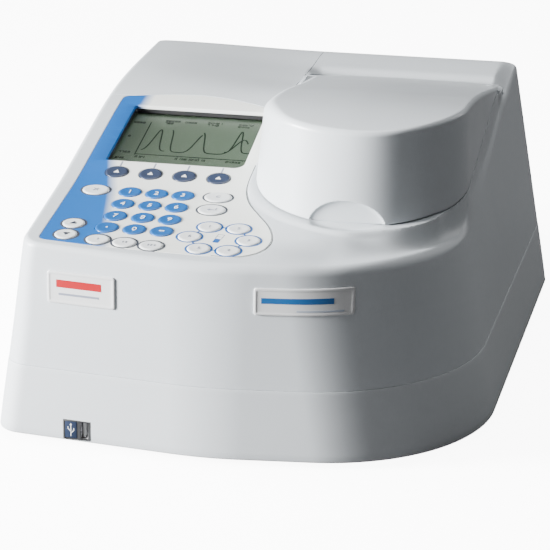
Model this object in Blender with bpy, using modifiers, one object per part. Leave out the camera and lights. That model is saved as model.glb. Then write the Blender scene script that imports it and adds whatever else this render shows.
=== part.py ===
"""Bench spectrophotometer: moulded housing, hinged sample lid over a six-cell turret,
recessed screen, thirty push keys, and the optics, lamp, fan and supply inside.

It stands on the bench at z = 0 with its front facing -Y; +X is the right-hand side seen from
the front. Lengths are in millimetres and become metres as each mesh is made.
"""

import math

import bmesh
import bpy
from mathutils import Matrix, Vector

MM = 0.001

# ---- driving dimensions ------------------------------------------------------
REAR_Y = 200.0            # rear wall
BOTTOM_Z = 4.0            # underside of the tray, the feet stand below it
BELT_Z = 52.0             # joint between tray and upper housing
HALF_W_REAR = 171.5       # half width at the rear, at z = 0
TAPER = 0.0369            # plan taper towards the front, per mm of depth
DRAFT = 0.1826            # side walls lean in, per mm of height
WALL = 2.5                # housing wall
DECK_FRONT_Y, DECK_FRONT_Z = -198.0, 132.5
LID_X, LID_Y = 63.5, -69.0    # centre of the round front of the lid
LID_R = 70.0
LID_REAR_Y = 135.4
LID_WALL = 2.5
HINGE_Y, HINGE_Z = 131.5, 169.5
TURRET_X, TURRET_Y = 63.5, -66.0
FIT_GAP = 0.3             # around a module set into an opening
PANEL_GAP = 0.35          # around the keypad panel
SCREEN_X0, SCREEN_X1 = -112.0, -18.0
SCREEN_Y0, SCREEN_Y1 = -66.0, 13.0
FAN_X, FAN_Z = -62.0, 112.0
INLET = (66.0, 94.0, 70.0, 122.0)   # x0, x1, z0, z1 of the inlet module
USB = (-106.5, -88.0, 5.2, 18.6)    # x0, x1, z0, z1 of the socket block in the tray front
CROSS_HOLE_Z = 112                  # holes through the sides of the well and the bench
LAMP_Y, LAMP_HOLE_Z = 84, 80

# Reach of the cutters
CUT_LOW, CUT_HIGH = 60, 230
REAR_CUT = (190, 210)               # y range through the rear wall

# ---- materials: base colour, roughness, metallic -----------------------------
FINISHES = {
    "shell": ((0.66, 0.68, 0.69, 1), 0.45, 0.0),
    "dark": ((0.06, 0.06, 0.065, 1), 0.45, 0.0),
    "white": ((0.82, 0.83, 0.80, 1), 0.45, 0.0),
    "blue": ((0.10, 0.36, 0.66, 1), 0.45, 0.0),
    "slate": ((0.13, 0.17, 0.27, 1), 0.45, 0.0),
    "metal": ((0.62, 0.63, 0.65, 1), 0.35, 1.0),
    "pcb": ((0.05, 0.20, 0.11, 1), 0.45, 0.0),
    "lcd": ((0.33, 0.42, 0.30, 1), 0.25, 0.0),
    "window": ((0.80, 0.85, 0.83, 1), 0.08, 0.0),
    "badge": ((0.78, 0.79, 0.79, 1), 0.45, 0.0),
    "rubber": ((0.03, 0.03, 0.03, 1), 0.85, 0.0),
}

for old_object in list(bpy.data.objects):
    bpy.data.objects.remove(old_object, do_unlink=True)

parts = bpy.data.collections.new("spectrophotometer")
cutters = bpy.data.collections.new("cutters")
bpy.context.scene.collection.children.link(parts)
bpy.context.scene.collection.children.link(cutters)


def material(name, kind):
    colour, roughness, metallic = FINISHES[kind]
    mat = bpy.data.materials.new(name)
    mat.use_nodes = True
    shader = mat.node_tree.nodes["Principled BSDF"]
    shader.inputs["Base Color"].default_value = colour
    shader.inputs["Roughness"].default_value = roughness
    shader.inputs["Metallic"].default_value = metallic
    mat.diffuse_color = colour
    return mat


# ---- solids: each function returns a builder that adds the solid to a bmesh ----
def loft(rings):
    """Skins matching closed rings of points, with flat caps."""
    def build(mesh):
        loops = [[mesh.verts.new(point) for point in ring] for ring in rings]
        count = len(loops[0])
        for lower, upper in zip(loops, loops[1:]):
            for i in range(count):
                j = (i + 1) % count
                mesh.faces.new((lower[i], lower[j], upper[j], upper[i]))
        mesh.faces.new(list(reversed(loops[0])))
        mesh.faces.new(loops[-1])
    return build


def prism(outline, low, high):
    """Upright extrusion of a flat outline between two heights (numbers or functions of y)."""
    return loft([[(x, y, level(y) if callable(level) else level) for x, y in outline]
                 for level in (low, high)])


def box(low, high):
    size = [top - bottom for bottom, top in zip(low, high)]
    middle = [(top + bottom) / 2 for bottom, top in zip(low, high)]
    matrix = Matrix.Translation(middle) @ Matrix.Diagonal((*size, 1))
    return lambda mesh: bmesh.ops.create_cube(mesh, size=1, matrix=matrix)


AXIS_TURN = {
    "Z": Matrix(),
    "X": Matrix.Rotation(math.pi / 2, 4, "Y"),
    "Y": Matrix.Rotation(-math.pi / 2, 4, "X"),
}


def cylinder(centre, radius, length, axis="Z", segments=24, end_radius=None):
    """Cylinder about an axis, or a cone if the far end has its own radius."""
    return lambda mesh: bmesh.ops.create_cone(
        mesh, cap_ends=True, segments=segments, radius1=radius,
        radius2=radius if end_radius is None else end_radius,
        depth=length, matrix=Matrix.Translation(centre) @ AXIS_TURN[axis])


def on_turret_axis(z, radius, length, segments):
    return cylinder((TURRET_X, TURRET_Y, z), radius, length, segments=segments)


def opening(module, y0, y1):
    """Block that clears a module given by x0, x1, z0, z1."""
    x0, x1, z0, z1 = module
    return box((x0 - FIT_GAP, y0, z0 - FIT_GAP), (x1 + FIT_GAP, y1, z1 + FIT_GAP))


# ---- objects and Booleans ------------------------------------------------------
def solid(name, build, origin=(0, 0, 0)):
    """Unlinked object in metres, with its origin at the point given in millimetres."""
    origin = Vector(origin)
    mesh = bmesh.new()
    build(mesh)
    bmesh.ops.recalc_face_normals(mesh, faces=mesh.faces)
    bmesh.ops.transform(mesh, matrix=Matrix.Scale(MM, 4) @ Matrix.Translation(-origin),
                        verts=mesh.verts)
    data = bpy.data.meshes.new(name)
    mesh.to_mesh(data)
    mesh.free()
    obj = bpy.data.objects.new(name, data)
    obj.location = origin * MM
    return obj


def part(name, kind, build, origin=(0, 0, 0)):
    obj = solid(name, build, origin)
    parts.objects.link(obj)
    obj.data.materials.append(material(name, kind))
    obj.data.shade_smooth()
    obj.data.set_sharp_from_angle(angle=math.radians(35))
    return obj


def as_helper(obj):
    cutters.objects.link(obj)
    obj.hide_render = True
    obj.display_type = "WIRE"
    return obj


def helper(name, build):
    return as_helper(solid(name, build))


def combine(obj, other, operation):
    modifier = obj.modifiers.new(operation.lower(), "BOOLEAN")
    modifier.operation = operation
    modifier.object = other
    modifier.solver = "EXACT"


def join(obj, *builds):
    """Unions more solids into a part, one Boolean at a time."""
    for i, build in enumerate(builds):
        name = f"{obj.name}_add{i}_{len(cutters.objects)}"
        combine(obj, helper(name, build), "UNION")


def trim(obj, *builds):
    """Cuts solids from a part, one Boolean at a time."""
    for i, build in enumerate(builds):
        name = f"{obj.name}_cut{i}_{len(cutters.objects)}"
        combine(obj, helper(name, build), "DIFFERENCE")


def bake(obj):
    """Applies the object's modifiers to its mesh."""
    graph = bpy.context.evaluated_depsgraph_get()
    baked = bpy.data.meshes.new_from_object(obj.evaluated_get(graph))
    unbaked = obj.data
    obj.modifiers.clear()
    obj.data = baked
    bpy.data.meshes.remove(unbaked)


# ---- guiding curves --------------------------------------------------------------
def ease(t):
    t = min(1.0, max(0.0, t))
    return t * t * (3 - 2 * t)


def ramp(value, start, run):
    """Eases from 0 at the start to 1 a run further on."""
    return ease((value - start) / run)


def between(position, stops):
    """Straight-line reading of a short table of (position, value) stops."""
    if position <= stops[0][0]:
        return stops[0][1]
    for (start, first), (end, last) in zip(stops, stops[1:]):
        if position <= end:
            return first + (last - first) * (position - start) / (end - start)
    return stops[-1][1]


# Console: y, slope
SLOPES = [(-230, 0.155), (-110, 0.155), (-80, 0.235), (-5, 0.235),
          (100, 0.0), (198, -0.045), (230, -0.045)]
CONSOLE_STEP = 4.0

# Low rim along the right-hand side: y, z
RIM = [(-205, 131.5), (-162, 132), (-130, 131), (-97, 130.5), (-54, 134), (-9, 142),
       (39, 150), (85, 160), (131, 168), (171, 174), (205, 177.5)]

# Sag of the rear deck below the console; each ramp is (start, run)
SAG_DEPTH, SAG_RECOVERY = 4.5, 2.5
SAG_X_RAMP, SAG_Y_RAMP, RECOVERY_Y_RAMP = (-130, 120), (40, 60), (140, 58)
# Soft groove across the deck at the rear of the lid
GROOVE_Y, GROOVE_DEPTH, GROOVE_SPREAD, GROOVE_X_RAMP = 136, 3.0, 9.0, (-12, 10)
# Arc that the rim follows around the front right corner
CORNER_X, CORNER_Y, CORNER_R = 20.0, -68.0, 116.0
FRONT_RIM_X_RAMP = (16, 46)
# Width of the fall to the rim, and how much wider it grows towards the front
FALL_WIDTH, FALL_EXTRA, FALL_Y, FALL_RUN = 12.0, 16.0, -115, 50


def console(y):
    """Height of the console: its slope steepens under the screen, then eases to the flat top."""
    z, reached = DECK_FRONT_Z, DECK_FRONT_Y
    while abs(y - reached) > 1e-9:
        move = max(-CONSOLE_STEP, min(CONSOLE_STEP, y - reached))
        z += between(reached + move / 2, SLOPES) * move
        reached += move
    return z


def half_width(y, z):
    return HALF_W_REAR - TAPER * (REAR_Y - y) - DRAFT * z


def deck(x, y):
    """Top surface: the console carried across, falling to the low rim on the right."""
    sag = SAG_DEPTH - SAG_RECOVERY * ramp(y, *RECOVERY_Y_RAMP)
    inner = console(y) - sag * ramp(x, *SAG_X_RAMP) * ramp(y, *SAG_Y_RAMP)
    groove = GROOVE_DEPTH * math.exp(-(((y - GROOVE_Y) / GROOVE_SPREAD) ** 2))
    inner -= groove * ramp(x, *GROOVE_X_RAMP)
    if x > CORNER_X and y < CORNER_Y:
        distance = math.hypot(x - CORNER_X, y - CORNER_Y)
        gap = CORNER_R - distance
        rim_y = CORNER_Y - CORNER_R * (CORNER_Y - y) / max(distance, 1e-6)
    else:
        gap = half_width(y, between(y, RIM)) - x
        rim_y = y
    reach = FALL_WIDTH + FALL_EXTRA * ease((FALL_Y - rim_y) / FALL_RUN)
    share = 1 - ease(gap / reach)
    if y < CORNER_Y:
        share *= ramp(x, *FRONT_RIM_X_RAMP)
    return inner + (between(rim_y, RIM) - inner) * share


# ---- plan outline of the instrument -------------------------------------------------
FRONT_LEFT, FRONT_MIDDLE, FRONT_RIGHT = (-155.2, -188), (-12, -203.2), (153.0, -182.5)
REAR_CORNER_R, FRONT_LEFT_R, FRONT_MIDDLE_R, FRONT_RIGHT_R = 6, 29, 200, 118
# The front left corner tightens over this height: less radius, and a shift of its x
TIGHTEN_RAMP, TIGHTEN_R, TIGHTEN_X = (70, 55), 15, 1.6
PLAN_STEPS = [3, 3, 6, 6, 14]


def rounded(corners, radii, steps):
    """A closed outline of straight runs joined by tangent arcs."""
    outline = []
    for i, (corner, radius, count) in enumerate(zip(corners, radii, steps)):
        corner = Vector(corner)
        back = (Vector(corners[i - 1]) - corner).normalized()
        ahead = (Vector(corners[(i + 1) % len(corners)]) - corner).normalized()
        half_angle = back.angle(ahead) / 2
        run = radius / math.tan(half_angle)
        centre = corner + (back + ahead).normalized() * radius / math.sin(half_angle)
        start = corner + back * run - centre
        end = corner + ahead * run - centre
        start_angle = math.atan2(start.y, start.x)
        end_angle = math.atan2(end.y, end.x)
        turn = (end_angle - start_angle + math.pi) % (2 * math.pi) - math.pi
        for k in range(count + 1):
            angle = start_angle + turn * k / count
            outline.append((centre.x + radius * math.cos(angle),
                            centre.y + radius * math.sin(angle)))
    return outline


def plan(z, inset=0.0):
    """Plan outline at a height, anticlockwise seen from above, from the rear right corner."""
    lean = DRAFT * z + inset
    tight = ramp(z, *TIGHTEN_RAMP)
    corners = [(HALF_W_REAR - lean, REAR_Y - inset),
               (-HALF_W_REAR + lean, REAR_Y - inset),
               (FRONT_LEFT[0] + TIGHTEN_X * tight + lean, FRONT_LEFT[1] + inset),
               (FRONT_MIDDLE[0], FRONT_MIDDLE[1] + inset),
               (FRONT_RIGHT[0] - lean, FRONT_RIGHT[1] + inset)]
    radii = [REAR_CORNER_R, REAR_CORNER_R, FRONT_LEFT_R - TIGHTEN_R * tight - inset,
             FRONT_MIDDLE_R, FRONT_RIGHT_R - inset]
    return rounded(corners, radii, PLAN_STEPS)


def plan_ring(z, inset=0.0):
    return [(x, y, z) for x, y in plan(z, inset)]


# ---- height-field block under the deck ------------------------------------------------
ROWS = [-225, -199, -180, -160, -145, -130, -115, -100, -85, -70, -52, -30,
        -5, 20, 45, 70, 95, 118, 128, 136, 144, 156, 178, 225]
COLUMNS = [-185, -130, -90, -50, -10, 20, 55, 85]
WALL_COLUMNS = [28, 20, 12, 9, 6, 3, 0, -40]      # distances in from the right side wall


def deck_block(lower, bottom, rows=ROWS):
    """Solid under the deck surface lowered by `lower`; right-hand columns follow the wall."""
    def build(mesh):
        top, base = [], []
        for y in rows:
            wall = half_width(y, between(y, RIM))
            across = COLUMNS + [wall - distance for distance in WALL_COLUMNS]
            top.append([mesh.verts.new((x, y, deck(min(x, wall), y) - lower)) for x in across])
            base.append([mesh.verts.new((x, y, bottom)) for x in across])
        face = mesh.faces.new
        columns = range(len(top[0]) - 1)
        for j in range(len(rows) - 1):
            k = j + 1
            for i in columns:
                face((top[j][i], top[j][i + 1], top[k][i + 1], top[k][i]))
                face((base[j][i], base[k][i], base[k][i + 1], base[j][i + 1]))
            face((top[j][0], top[k][0], base[k][0], base[j][0]))
            face((top[j][-1], base[j][-1], base[k][-1], top[k][-1]))
        for i in columns:
            face((top[0][i], base[0][i], base[0][i + 1], top[0][i + 1]))
            face((top[-1][i], top[-1][i + 1], base[-1][i + 1], base[-1][i]))
        bmesh.ops.triangulate(mesh, faces=[f for f in mesh.faces if len(f.verts) > 3])
    return build


# ---- outline of the keypad panel --------------------------------------------------------
# x, y: straight left edge, arched top, S-shaped right edge, anticlockwise
PANEL_PATH = [
    (-124, -186.5), (-80, -189), (-34, -189.5), (2, -188.5), (13, -184),
    (20, -173.5), (21.6, -160), (15.5, -142.5), (-1.5, -116), (-8.2, -102),
    (-10, -85), (-9.6, -50), (-9.4, 12), (-23, 22), (-47, 31.5),
    (-71.5, 35.5), (-100, 32.5), (-118.5, 28.5), (-124, 23),
]


def panel_plan(inset=0.0):
    ring = [Vector(point) for point in PANEL_PATH]
    outline = []
    for i, point in enumerate(ring):
        before = (point - ring[i - 1]).normalized()
        after = (ring[(i + 1) % len(ring)] - point).normalized()
        along = before + after
        normal = Vector((-along.y, along.x)).normalized()
        mitre = max(0.5, math.sqrt((1 + before.dot(after)) / 2))
        outline.append(tuple(point + normal * inset / mitre))
    return outline


panel_clearance = prism(panel_plan(-PANEL_GAP), CUT_LOW, CUT_HIGH)

# ---- outline and top of the lid -----------------------------------------------------------
LID_STEPS = 28
LID_SIDE_Y = [-20, 30, 80]
LID_FLARE, LID_FLARE_RUN = 1.5, 204     # each side spreads this far over this run

# Lid top: y, z
CROWN = [(-150, 200.4), (-138, 203.3), (-120, 206.6), (-100, 208.6), (-80, 208.9), (-60, 207.6),
         (-29, 204.2), (18, 196.4), (66, 187.6), (100, 181), (136, 175)]
CROWN_SIDE_FALL = 1.2
# Rounded shoulder and top of the lid: height from the crown, growth of the outline
LID_SHOULDER = [(-8.0, 0.0), (-3.4, -1.0), (-0.9, -3.4), (0.0, -7.0),
                (0.0, -22.0), (0.0, -40.0), (0.0, -56.0)]


def lid_arc(grow, steps):
    """Round front of the lid, from its left side to its right."""
    radius = LID_R + grow
    return [(LID_X - radius * math.cos(math.pi * k / steps),
             LID_Y - radius * math.sin(math.pi * k / steps)) for k in range(steps + 1)]


def lid_plan(grow, rear):
    """D outline of the lid: round front, sides running back to the hinge, anticlockwise."""
    outline = lid_arc(grow, LID_STEPS)
    left, right = outline[0][0], outline[-1][0]
    flares = [(LID_FLARE * (y - LID_Y) / LID_FLARE_RUN, y) for y in LID_SIDE_Y]
    flares.append((LID_FLARE, rear))
    outline += [(right + flare, y) for flare, y in flares]
    outline += [(left - flare, y) for flare, y in reversed(flares)]
    return outline


def crown(x, y):
    """Top of the lid: domed from front to back and a little from side to side."""
    return between(y, CROWN) - CROWN_SIDE_FALL * ((x - LID_X) / LID_R) ** 2


def lid_solid(inset, base, rear):
    """D-shaped body, set in all round: straight wall, then a shoulder into the crown."""
    rings = [[(x, y, base) for x, y in lid_plan(-inset, rear)]]
    for rise, grow in LID_SHOULDER:
        rings.append([(x, y, crown(x, y) - inset + rise)
                      for x, y in lid_plan(grow - inset, rear)])

    def build(mesh):
        loft(rings)(mesh)
        bmesh.ops.triangulate(mesh, faces=[f for f in mesh.faces if len(f.verts) > 4])
    return build


# ==== casing =================================================================================
# Upper housing: the plan drawn up with draft, topped by the deck, hollowed to the wall.
STATIONS = (75, 97.5, 120)       # heights between the belt and the top

housing = part("upper_housing", "shell",
               loft([plan_ring(z) for z in (BELT_Z + 0.4, *STATIONS, 196)]))
combine(housing, helper("deck_outer", deck_block(0, BELT_Z - 3)), "INTERSECT")
core = helper("housing_core",
              loft([plan_ring(z, WALL) for z in (BELT_Z - 5, *STATIONS, 195)]))
combine(core, helper("deck_inner", deck_block(WALL, BELT_Z - 9)), "INTERSECT")
bake(core)
combine(housing, core, "DIFFERENCE")
bake(housing)

# Access cover: the rear left corner of the shell, split off along a fine joint.
COVER_X, COVER_Z = -10.0, 160.0      # right seam, lower seam
COVER_GAP = 0.4
COVER_PANEL_GAP = 0.45               # from the panel opening to the front seam
COVER_STEP = 7.5                     # the seam runs forward at its right end
COVER_FAR_X, COVER_FAR_Y = -200, 220     # beyond the shell


def cover_plan(gap):
    """Cover seen from above: its front edge runs along the arched top of the keypad panel."""
    front = [(x, y + COVER_PANEL_GAP + gap) for x, y in reversed(panel_plan(-PANEL_GAP))
             if y > 20 and x > -120]
    return [(COVER_FAR_X, front[0][1]), *front,
            (COVER_X - gap, front[-1][1] - COVER_STEP),
            (COVER_X - gap, COVER_FAR_Y), (COVER_FAR_X, COVER_FAR_Y)]


cover = part("access_cover", "shell",
             prism(cover_plan(COVER_GAP), COVER_Z + COVER_GAP, CUT_HIGH),
             origin=(-75, REAR_Y, COVER_Z))
shell_copy = as_helper(bpy.data.objects.new("housing_copy", housing.data.copy()))
combine(cover, shell_copy, "INTERSECT")
trim(cover, panel_clearance)
bake(cover)
trim(housing, prism(cover_plan(0.0), COVER_Z, CUT_HIGH))

# Openings of the housing: keypad panel, lid opening, rear of the lid, rear panel.
LID_BAY = [(-8.9, 60), (136.2, 60), (136.4, 138.8), (-9.2, 138.8)]
REAR_OPENING_X, REAR_OPENING_Z = 110, (62, 156)      # half width, height range
trim(housing,
     panel_clearance,
     prism(lid_plan(-7.0, 130), 120, CUT_HIGH),
     prism(LID_BAY, 150, CUT_HIGH),
     box((-REAR_OPENING_X, REAR_CUT[0], REAR_OPENING_Z[0]),
         (REAR_OPENING_X, REAR_CUT[1], REAR_OPENING_Z[1])))
bake(housing)

# Base tray: floor and skirt below the belt joint, flaring slightly outwards.
TRAY_WALL = WALL + 0.3
TRAY_FLOOR = 3
INTAKE_X, INTAKE_PITCH, INTAKE_W = 30, 12, 5     # slots in the floor under the supply

tray = part("base_tray", "shell",
            loft([plan_ring(BOTTOM_Z), plan_ring(BELT_Z - 8, -0.5), plan_ring(BELT_Z)]))
tray_core = loft([plan_ring(z, TRAY_WALL) for z in (BOTTOM_Z + TRAY_FLOOR, BELT_Z + 5)])
combine(tray, helper("tray_core", tray_core), "DIFFERENCE")
trim(tray, opening(USB, -215, -170))
trim(tray, *[box((x, 70, 0), (x + INTAKE_W, 130, 12))
             for x in (INTAKE_X + INTAKE_PITCH * i for i in range(6))])
bake(tray)

# Feet: rubber pads under the tray corners, just short of its underside.
FEET = {"front_left": (-118, -150), "front_right": (96, -140),
        "rear_left": (-140, 165), "rear_right": (140, 165)}
FOOT_H = BOTTOM_Z - 0.3
for place, (x, y) in FEET.items():
    part("foot_" + place, "rubber",
         cylinder((x, y, FOOT_H / 2), 9, FOOT_H, segments=20, end_radius=10), origin=(x, y, 0))

# Rear panel with fan slots and the inlet cut-out.
REAR_PANEL_GAP = 0.4
SLOT_PITCH, SLOT_HALF_H = 8, 2.2
SLOT_HALF_W, OUTER_SLOT_HALF_W = 24, 17


def fan_slot(i):
    half = SLOT_HALF_W if abs(i) < 2 else OUTER_SLOT_HALF_W
    z = FAN_Z + SLOT_PITCH * i
    return box((FAN_X - half, REAR_CUT[0], z - SLOT_HALF_H),
               (FAN_X + half, REAR_CUT[1], z + SLOT_HALF_H))


rear_half = REAR_OPENING_X - REAR_PANEL_GAP
rear_panel = part("rear_panel", "dark",
                  box((-rear_half, 197.6, REAR_OPENING_Z[0] + REAR_PANEL_GAP),
                      (rear_half, 199.8, REAR_OPENING_Z[1] - REAR_PANEL_GAP)))
trim(rear_panel, opening(INLET, *REAR_CUT), *[fan_slot(i) for i in range(-3, 4)])
bake(rear_panel)

# ==== sample lid ===============================================================================
LID_SEAT_GAP = 0.9               # between the lid's edge and the deck
SEAT_REAR_Y = 60                 # the edge follows the deck as far back as this
LID_REAR_BASE_Z = 164            # and ends at this height behind it
KNUCKLE_X, KNUCKLE_W = (36, 85), 6

lid = part("sample_lid", "shell", lid_solid(0, 110, LID_REAR_Y),
           origin=(LID_X, HINGE_Y, HINGE_Z))
trim(lid, lid_solid(LID_WALL, 100, LID_REAR_Y + 3))
seat_rows = [y for y in ROWS if y < SEAT_REAR_Y] + [SEAT_REAR_Y]
combine(lid, helper("lid_seat", deck_block(-LID_SEAT_GAP, 90, seat_rows)), "DIFFERENCE")
# The cylinder leaves a round notch in the lower edge of the front wall.
trim(lid, box((-40, SEAT_REAR_Y, 90), (160, 160, LID_REAR_BASE_Z)),
     cylinder((64, -140, 139), 24, 14, "Y"))
# Two hinge knuckles, bored for the pin.
join(lid, *[box((x, HINGE_Y - 2.6, HINGE_Z - 2.6),
                (x + KNUCKLE_W, HINGE_Y + 2.4, HINGE_Z + 5.2)) for x in KNUCKLE_X])
trim(lid, *[cylinder((x + KNUCKLE_W / 2, HINGE_Y, HINGE_Z), 1.8, 12, "X", 20)
            for x in KNUCKLE_X])
bake(lid)

hinge_centre = (LID_X, HINGE_Y, HINGE_Z)
part("lid_hinge_pin", "metal", cylinder(hinge_centre, 1.5, 84, "X", 16), origin=hinge_centre)

# Liner: dark sloping plate that closes the underside of the lid over the cells.
LINER_T = 2.2
LINER_GAP = 0.7
LINER_REAR = [(129.6, 24), (-2.6, 24)]


def liner_base(y):
    return 148 + 0.213 * (y + 135)


part("lid_liner", "dark", prism(lid_arc(-LID_WALL - LINER_GAP, 20) + LINER_REAR,
                                liner_base, lambda y: liner_base(y) + LINER_T))

# ==== sample compartment =========================================================================
# Well: a round cup under the lid, with a shallow tray running back to the hinge brackets.
WELL_R, WELL_WALL, WELL_H = 59.0, 2, 120
BRACKET_X, BRACKET_W = (29, 94), 4

well = part("sample_well", "dark", on_turret_axis(150, WELL_R, WELL_H, 40))
combine(well, helper("well_top", deck_block(WALL + 0.8, 88)), "INTERSECT")
join(well, box((8, -30, 148), (119, 127, 156)))
trim(well, on_turret_axis(152, WELL_R - WELL_WALL, WELL_H, 40),
     box((10, -40, 150), (117, 125, 170)))
join(well, *[box((x, HINGE_Y - 5, 149), (x + BRACKET_W, HINGE_Y + 1.8, HINGE_Z + 1.9))
             for x in BRACKET_X])
# Bores for the hinge pin, a shaft hole in the floor, and a cross hole through both sides.
trim(well, *[cylinder((x + BRACKET_W / 2, HINGE_Y, HINGE_Z), 1.7, 8, "X", 20)
             for x in BRACKET_X],
     on_turret_axis(90, 4.5, 30, 20),
     cylinder((TURRET_X, TURRET_Y, CROSS_HOLE_Z), 4.0, 140, "X", 12))
bake(well)

# Turret: a carousel with six square pockets, its shaft running down into the motor.
TURRET_R, TURRET_H, TURRET_BASE_Z = 43.0, 34, 94
CELL_COUNT = 6
CELL_RADIUS = 29.0        # centre of each cell pocket from the turret axis
CELL_POCKET = 12.9        # for standard 12.5 mm cells
POCKET_H, POCKET_MID_Z = 36, 115


def pockets(mesh):
    for k in range(CELL_COUNT):
        angle = math.radians(360 / CELL_COUNT * k)
        centre = (TURRET_X + CELL_RADIUS * math.cos(angle),
                  TURRET_Y + CELL_RADIUS * math.sin(angle), POCKET_MID_Z)
        frame = Matrix.Translation(centre) @ Matrix.Rotation(angle, 4, "Z")
        size = Matrix.Diagonal((CELL_POCKET, CELL_POCKET, POCKET_H, 1))
        bmesh.ops.create_cube(mesh, size=1, matrix=frame @ size)


turret = part("cell_turret", "dark",
              on_turret_axis(TURRET_BASE_Z + TURRET_H / 2, TURRET_R, TURRET_H, 36),
              origin=(TURRET_X, TURRET_Y, TURRET_BASE_Z))
join(turret, on_turret_axis(102, 3.5, 62, 20), on_turret_axis(130, 9, 8, 24))   # shaft, hub
trim(turret, pockets)
bake(turret)

motor = part("turret_motor", "metal", on_turret_axis(75, 20, 28, 28))
trim(motor, on_turret_axis(84, 3.9, 40, 20))     # shaft bore
bake(motor)

# ==== screen and keypad ============================================================================
PANEL_T = 2.2
SLAB_STATIONS = (-110, -95, -80, -5, 15, 30)     # y


def curved_slab(top_drop, bottom_drop, x0, x1, y0, y1):
    """Sheet that follows the console surface, from one depth to another."""
    stations = [y0] + [y for y in SLAB_STATIONS if y0 < y < y1] + [y1]
    profile = [(y, console(y) - top_drop) for y in stations]
    profile += [(y, console(y) - bottom_drop) for y in reversed(stations)]
    return loft([[(x, y, z) for y, z in profile] for x in (x0, x1)])


panel = part("keypad_panel", "white", curved_slab(0.0, PANEL_T, -140, 40, -195, 40))
combine(panel, helper("panel_outline", prism(panel_plan(), CUT_LOW, CUT_HIGH)), "INTERSECT")
trim(panel, box((SCREEN_X0, SCREEN_Y0, 100), (SCREEN_X1, SCREEN_Y1, 200)))

# Key styles: half width, half depth, finish
SOFT = (7.6, 7.6, "slate")
DIGIT = (7.5, 7.3, "blue")
WIDE = (8.9, 7.2, "white")
ARROW = (7.2, 6.4, "white")
FUNCTION = (7.5, 6.3, "white")
CELL = (7.3, 6.6, "white")

KEY_PITCH = 17.9
KEY_LEFT_X, KEY_TOP_Y = -84.0, -108.3
ROW_Y = [KEY_TOP_Y, KEY_TOP_Y - KEY_PITCH, KEY_TOP_Y - 2 * KEY_PITCH, -161.0]
COLUMN_X = [KEY_LEFT_X, KEY_LEFT_X + KEY_PITCH, KEY_LEFT_X + 2 * KEY_PITCH - 0.2]
LAST_ROW_SHIFT = 1               # the bottom row of the number block sits to the left
CELL_KEYS_X, CELL_KEYS_Y = -11.6, -165.4
CELL_KEYS_RX, CELL_KEYS_RY = 18.8, 17.6

# Keys: name, x, y, style
keys = [(f"key_soft_{i + 1}", -100.2 + 23.1 * i, -81.6, SOFT) for i in range(4)]
keys += [(f"key_{i + 1}", COLUMN_X[i % 3], ROW_Y[i // 3], DIGIT) for i in range(9)]
keys += [("key_" + name, x - LAST_ROW_SHIFT, ROW_Y[3], DIGIT)
         for name, x in zip(("point", "0", "minus"), COLUMN_X)]
keys += [("key_esc", -107.0, -108.3, WIDE), ("key_clear", -25.3, -107.3, WIDE),
         ("key_enter", -25.3, -126.0, WIDE),
         ("key_up", -107.5, -158.4, ARROW), ("key_down", -108.0, -174.2, ARROW)]
keys += [(f"key_fn_{i + 1}", -86.2 + 17.6 * i, -178.2 - 1.6 * i, FUNCTION) for i in range(3)]
for k in range(CELL_COUNT):      # a ring of keys, clockwise from the upper left
    angle = math.radians(120 - 60 * k)
    keys.append((f"key_cell_{k + 1}", CELL_KEYS_X + CELL_KEYS_RX * math.cos(angle),
                 CELL_KEYS_Y + CELL_KEYS_RY * math.sin(angle), CELL))

KEY_CLEAR = 0.3
KEY_SEGMENTS = 18
# Oval key body: height from the console, inset of the outline
KEY_PROFILE = [(-3.0, 0), (0.5, 0), (0.9, 0.6)]


def key_frame(x, y, scale=1):
    """Frame on the console surface, tilted with its slope."""
    tilt = math.atan(between(y, SLOPES))
    return (Matrix.Translation(Vector((x, y, console(y))) * scale)
            @ Matrix.Rotation(tilt, 4, "X"))


def key_body(half_w, half_d):
    angles = [math.radians(360 / KEY_SEGMENTS * k) for k in range(KEY_SEGMENTS)]
    return loft([[((half_w - inset) * math.cos(angle), (half_d - inset) * math.sin(angle), z)
                  for angle in angles] for z, inset in KEY_PROFILE])


def key_holes(mesh):
    for _, x, y, (half_w, half_d, _) in keys:
        size = Matrix.Diagonal((half_w + KEY_CLEAR, half_d + KEY_CLEAR, 1, 1))
        bmesh.ops.create_cone(mesh, cap_ends=True, segments=KEY_SEGMENTS, radius1=1, radius2=1,
                              depth=12, matrix=key_frame(x, y) @ size)


for name, x, y, (half_w, half_d, kind) in keys:
    key = part(name, kind, key_body(half_w, half_d))
    key.matrix_world = key_frame(x, y, MM)

trim(panel, key_holes)
bake(panel)


# Display: clear window over the LCD module, both on the tilted screen plane.
def screen_slab(margin, top_drop, bottom_drop):
    """Slab larger than the screen opening by a margin, between two depths below its plane."""
    x0, x1 = SCREEN_X0 - margin, SCREEN_X1 + margin
    y0, y1 = SCREEN_Y0 - margin, SCREEN_Y1 + margin
    front_z, rear_z = console(SCREEN_Y0), console(SCREEN_Y1)

    def plane(y):
        return front_z + (rear_z - front_z) * (y - SCREEN_Y0) / (SCREEN_Y1 - SCREEN_Y0)

    return prism([(x0, y0), (x1, y0), (x1, y1), (x0, y1)],
                 lambda y: plane(y) - bottom_drop, lambda y: plane(y) - top_drop)


part("display_window", "window", screen_slab(3, 5.2, 6.2))
part("lcd_module", "lcd", screen_slab(5, 6.6, 14.5))
part("control_board", "pcb", curved_slab(4.4, 6.0, -116, 3.4, -186, -73))

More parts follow.
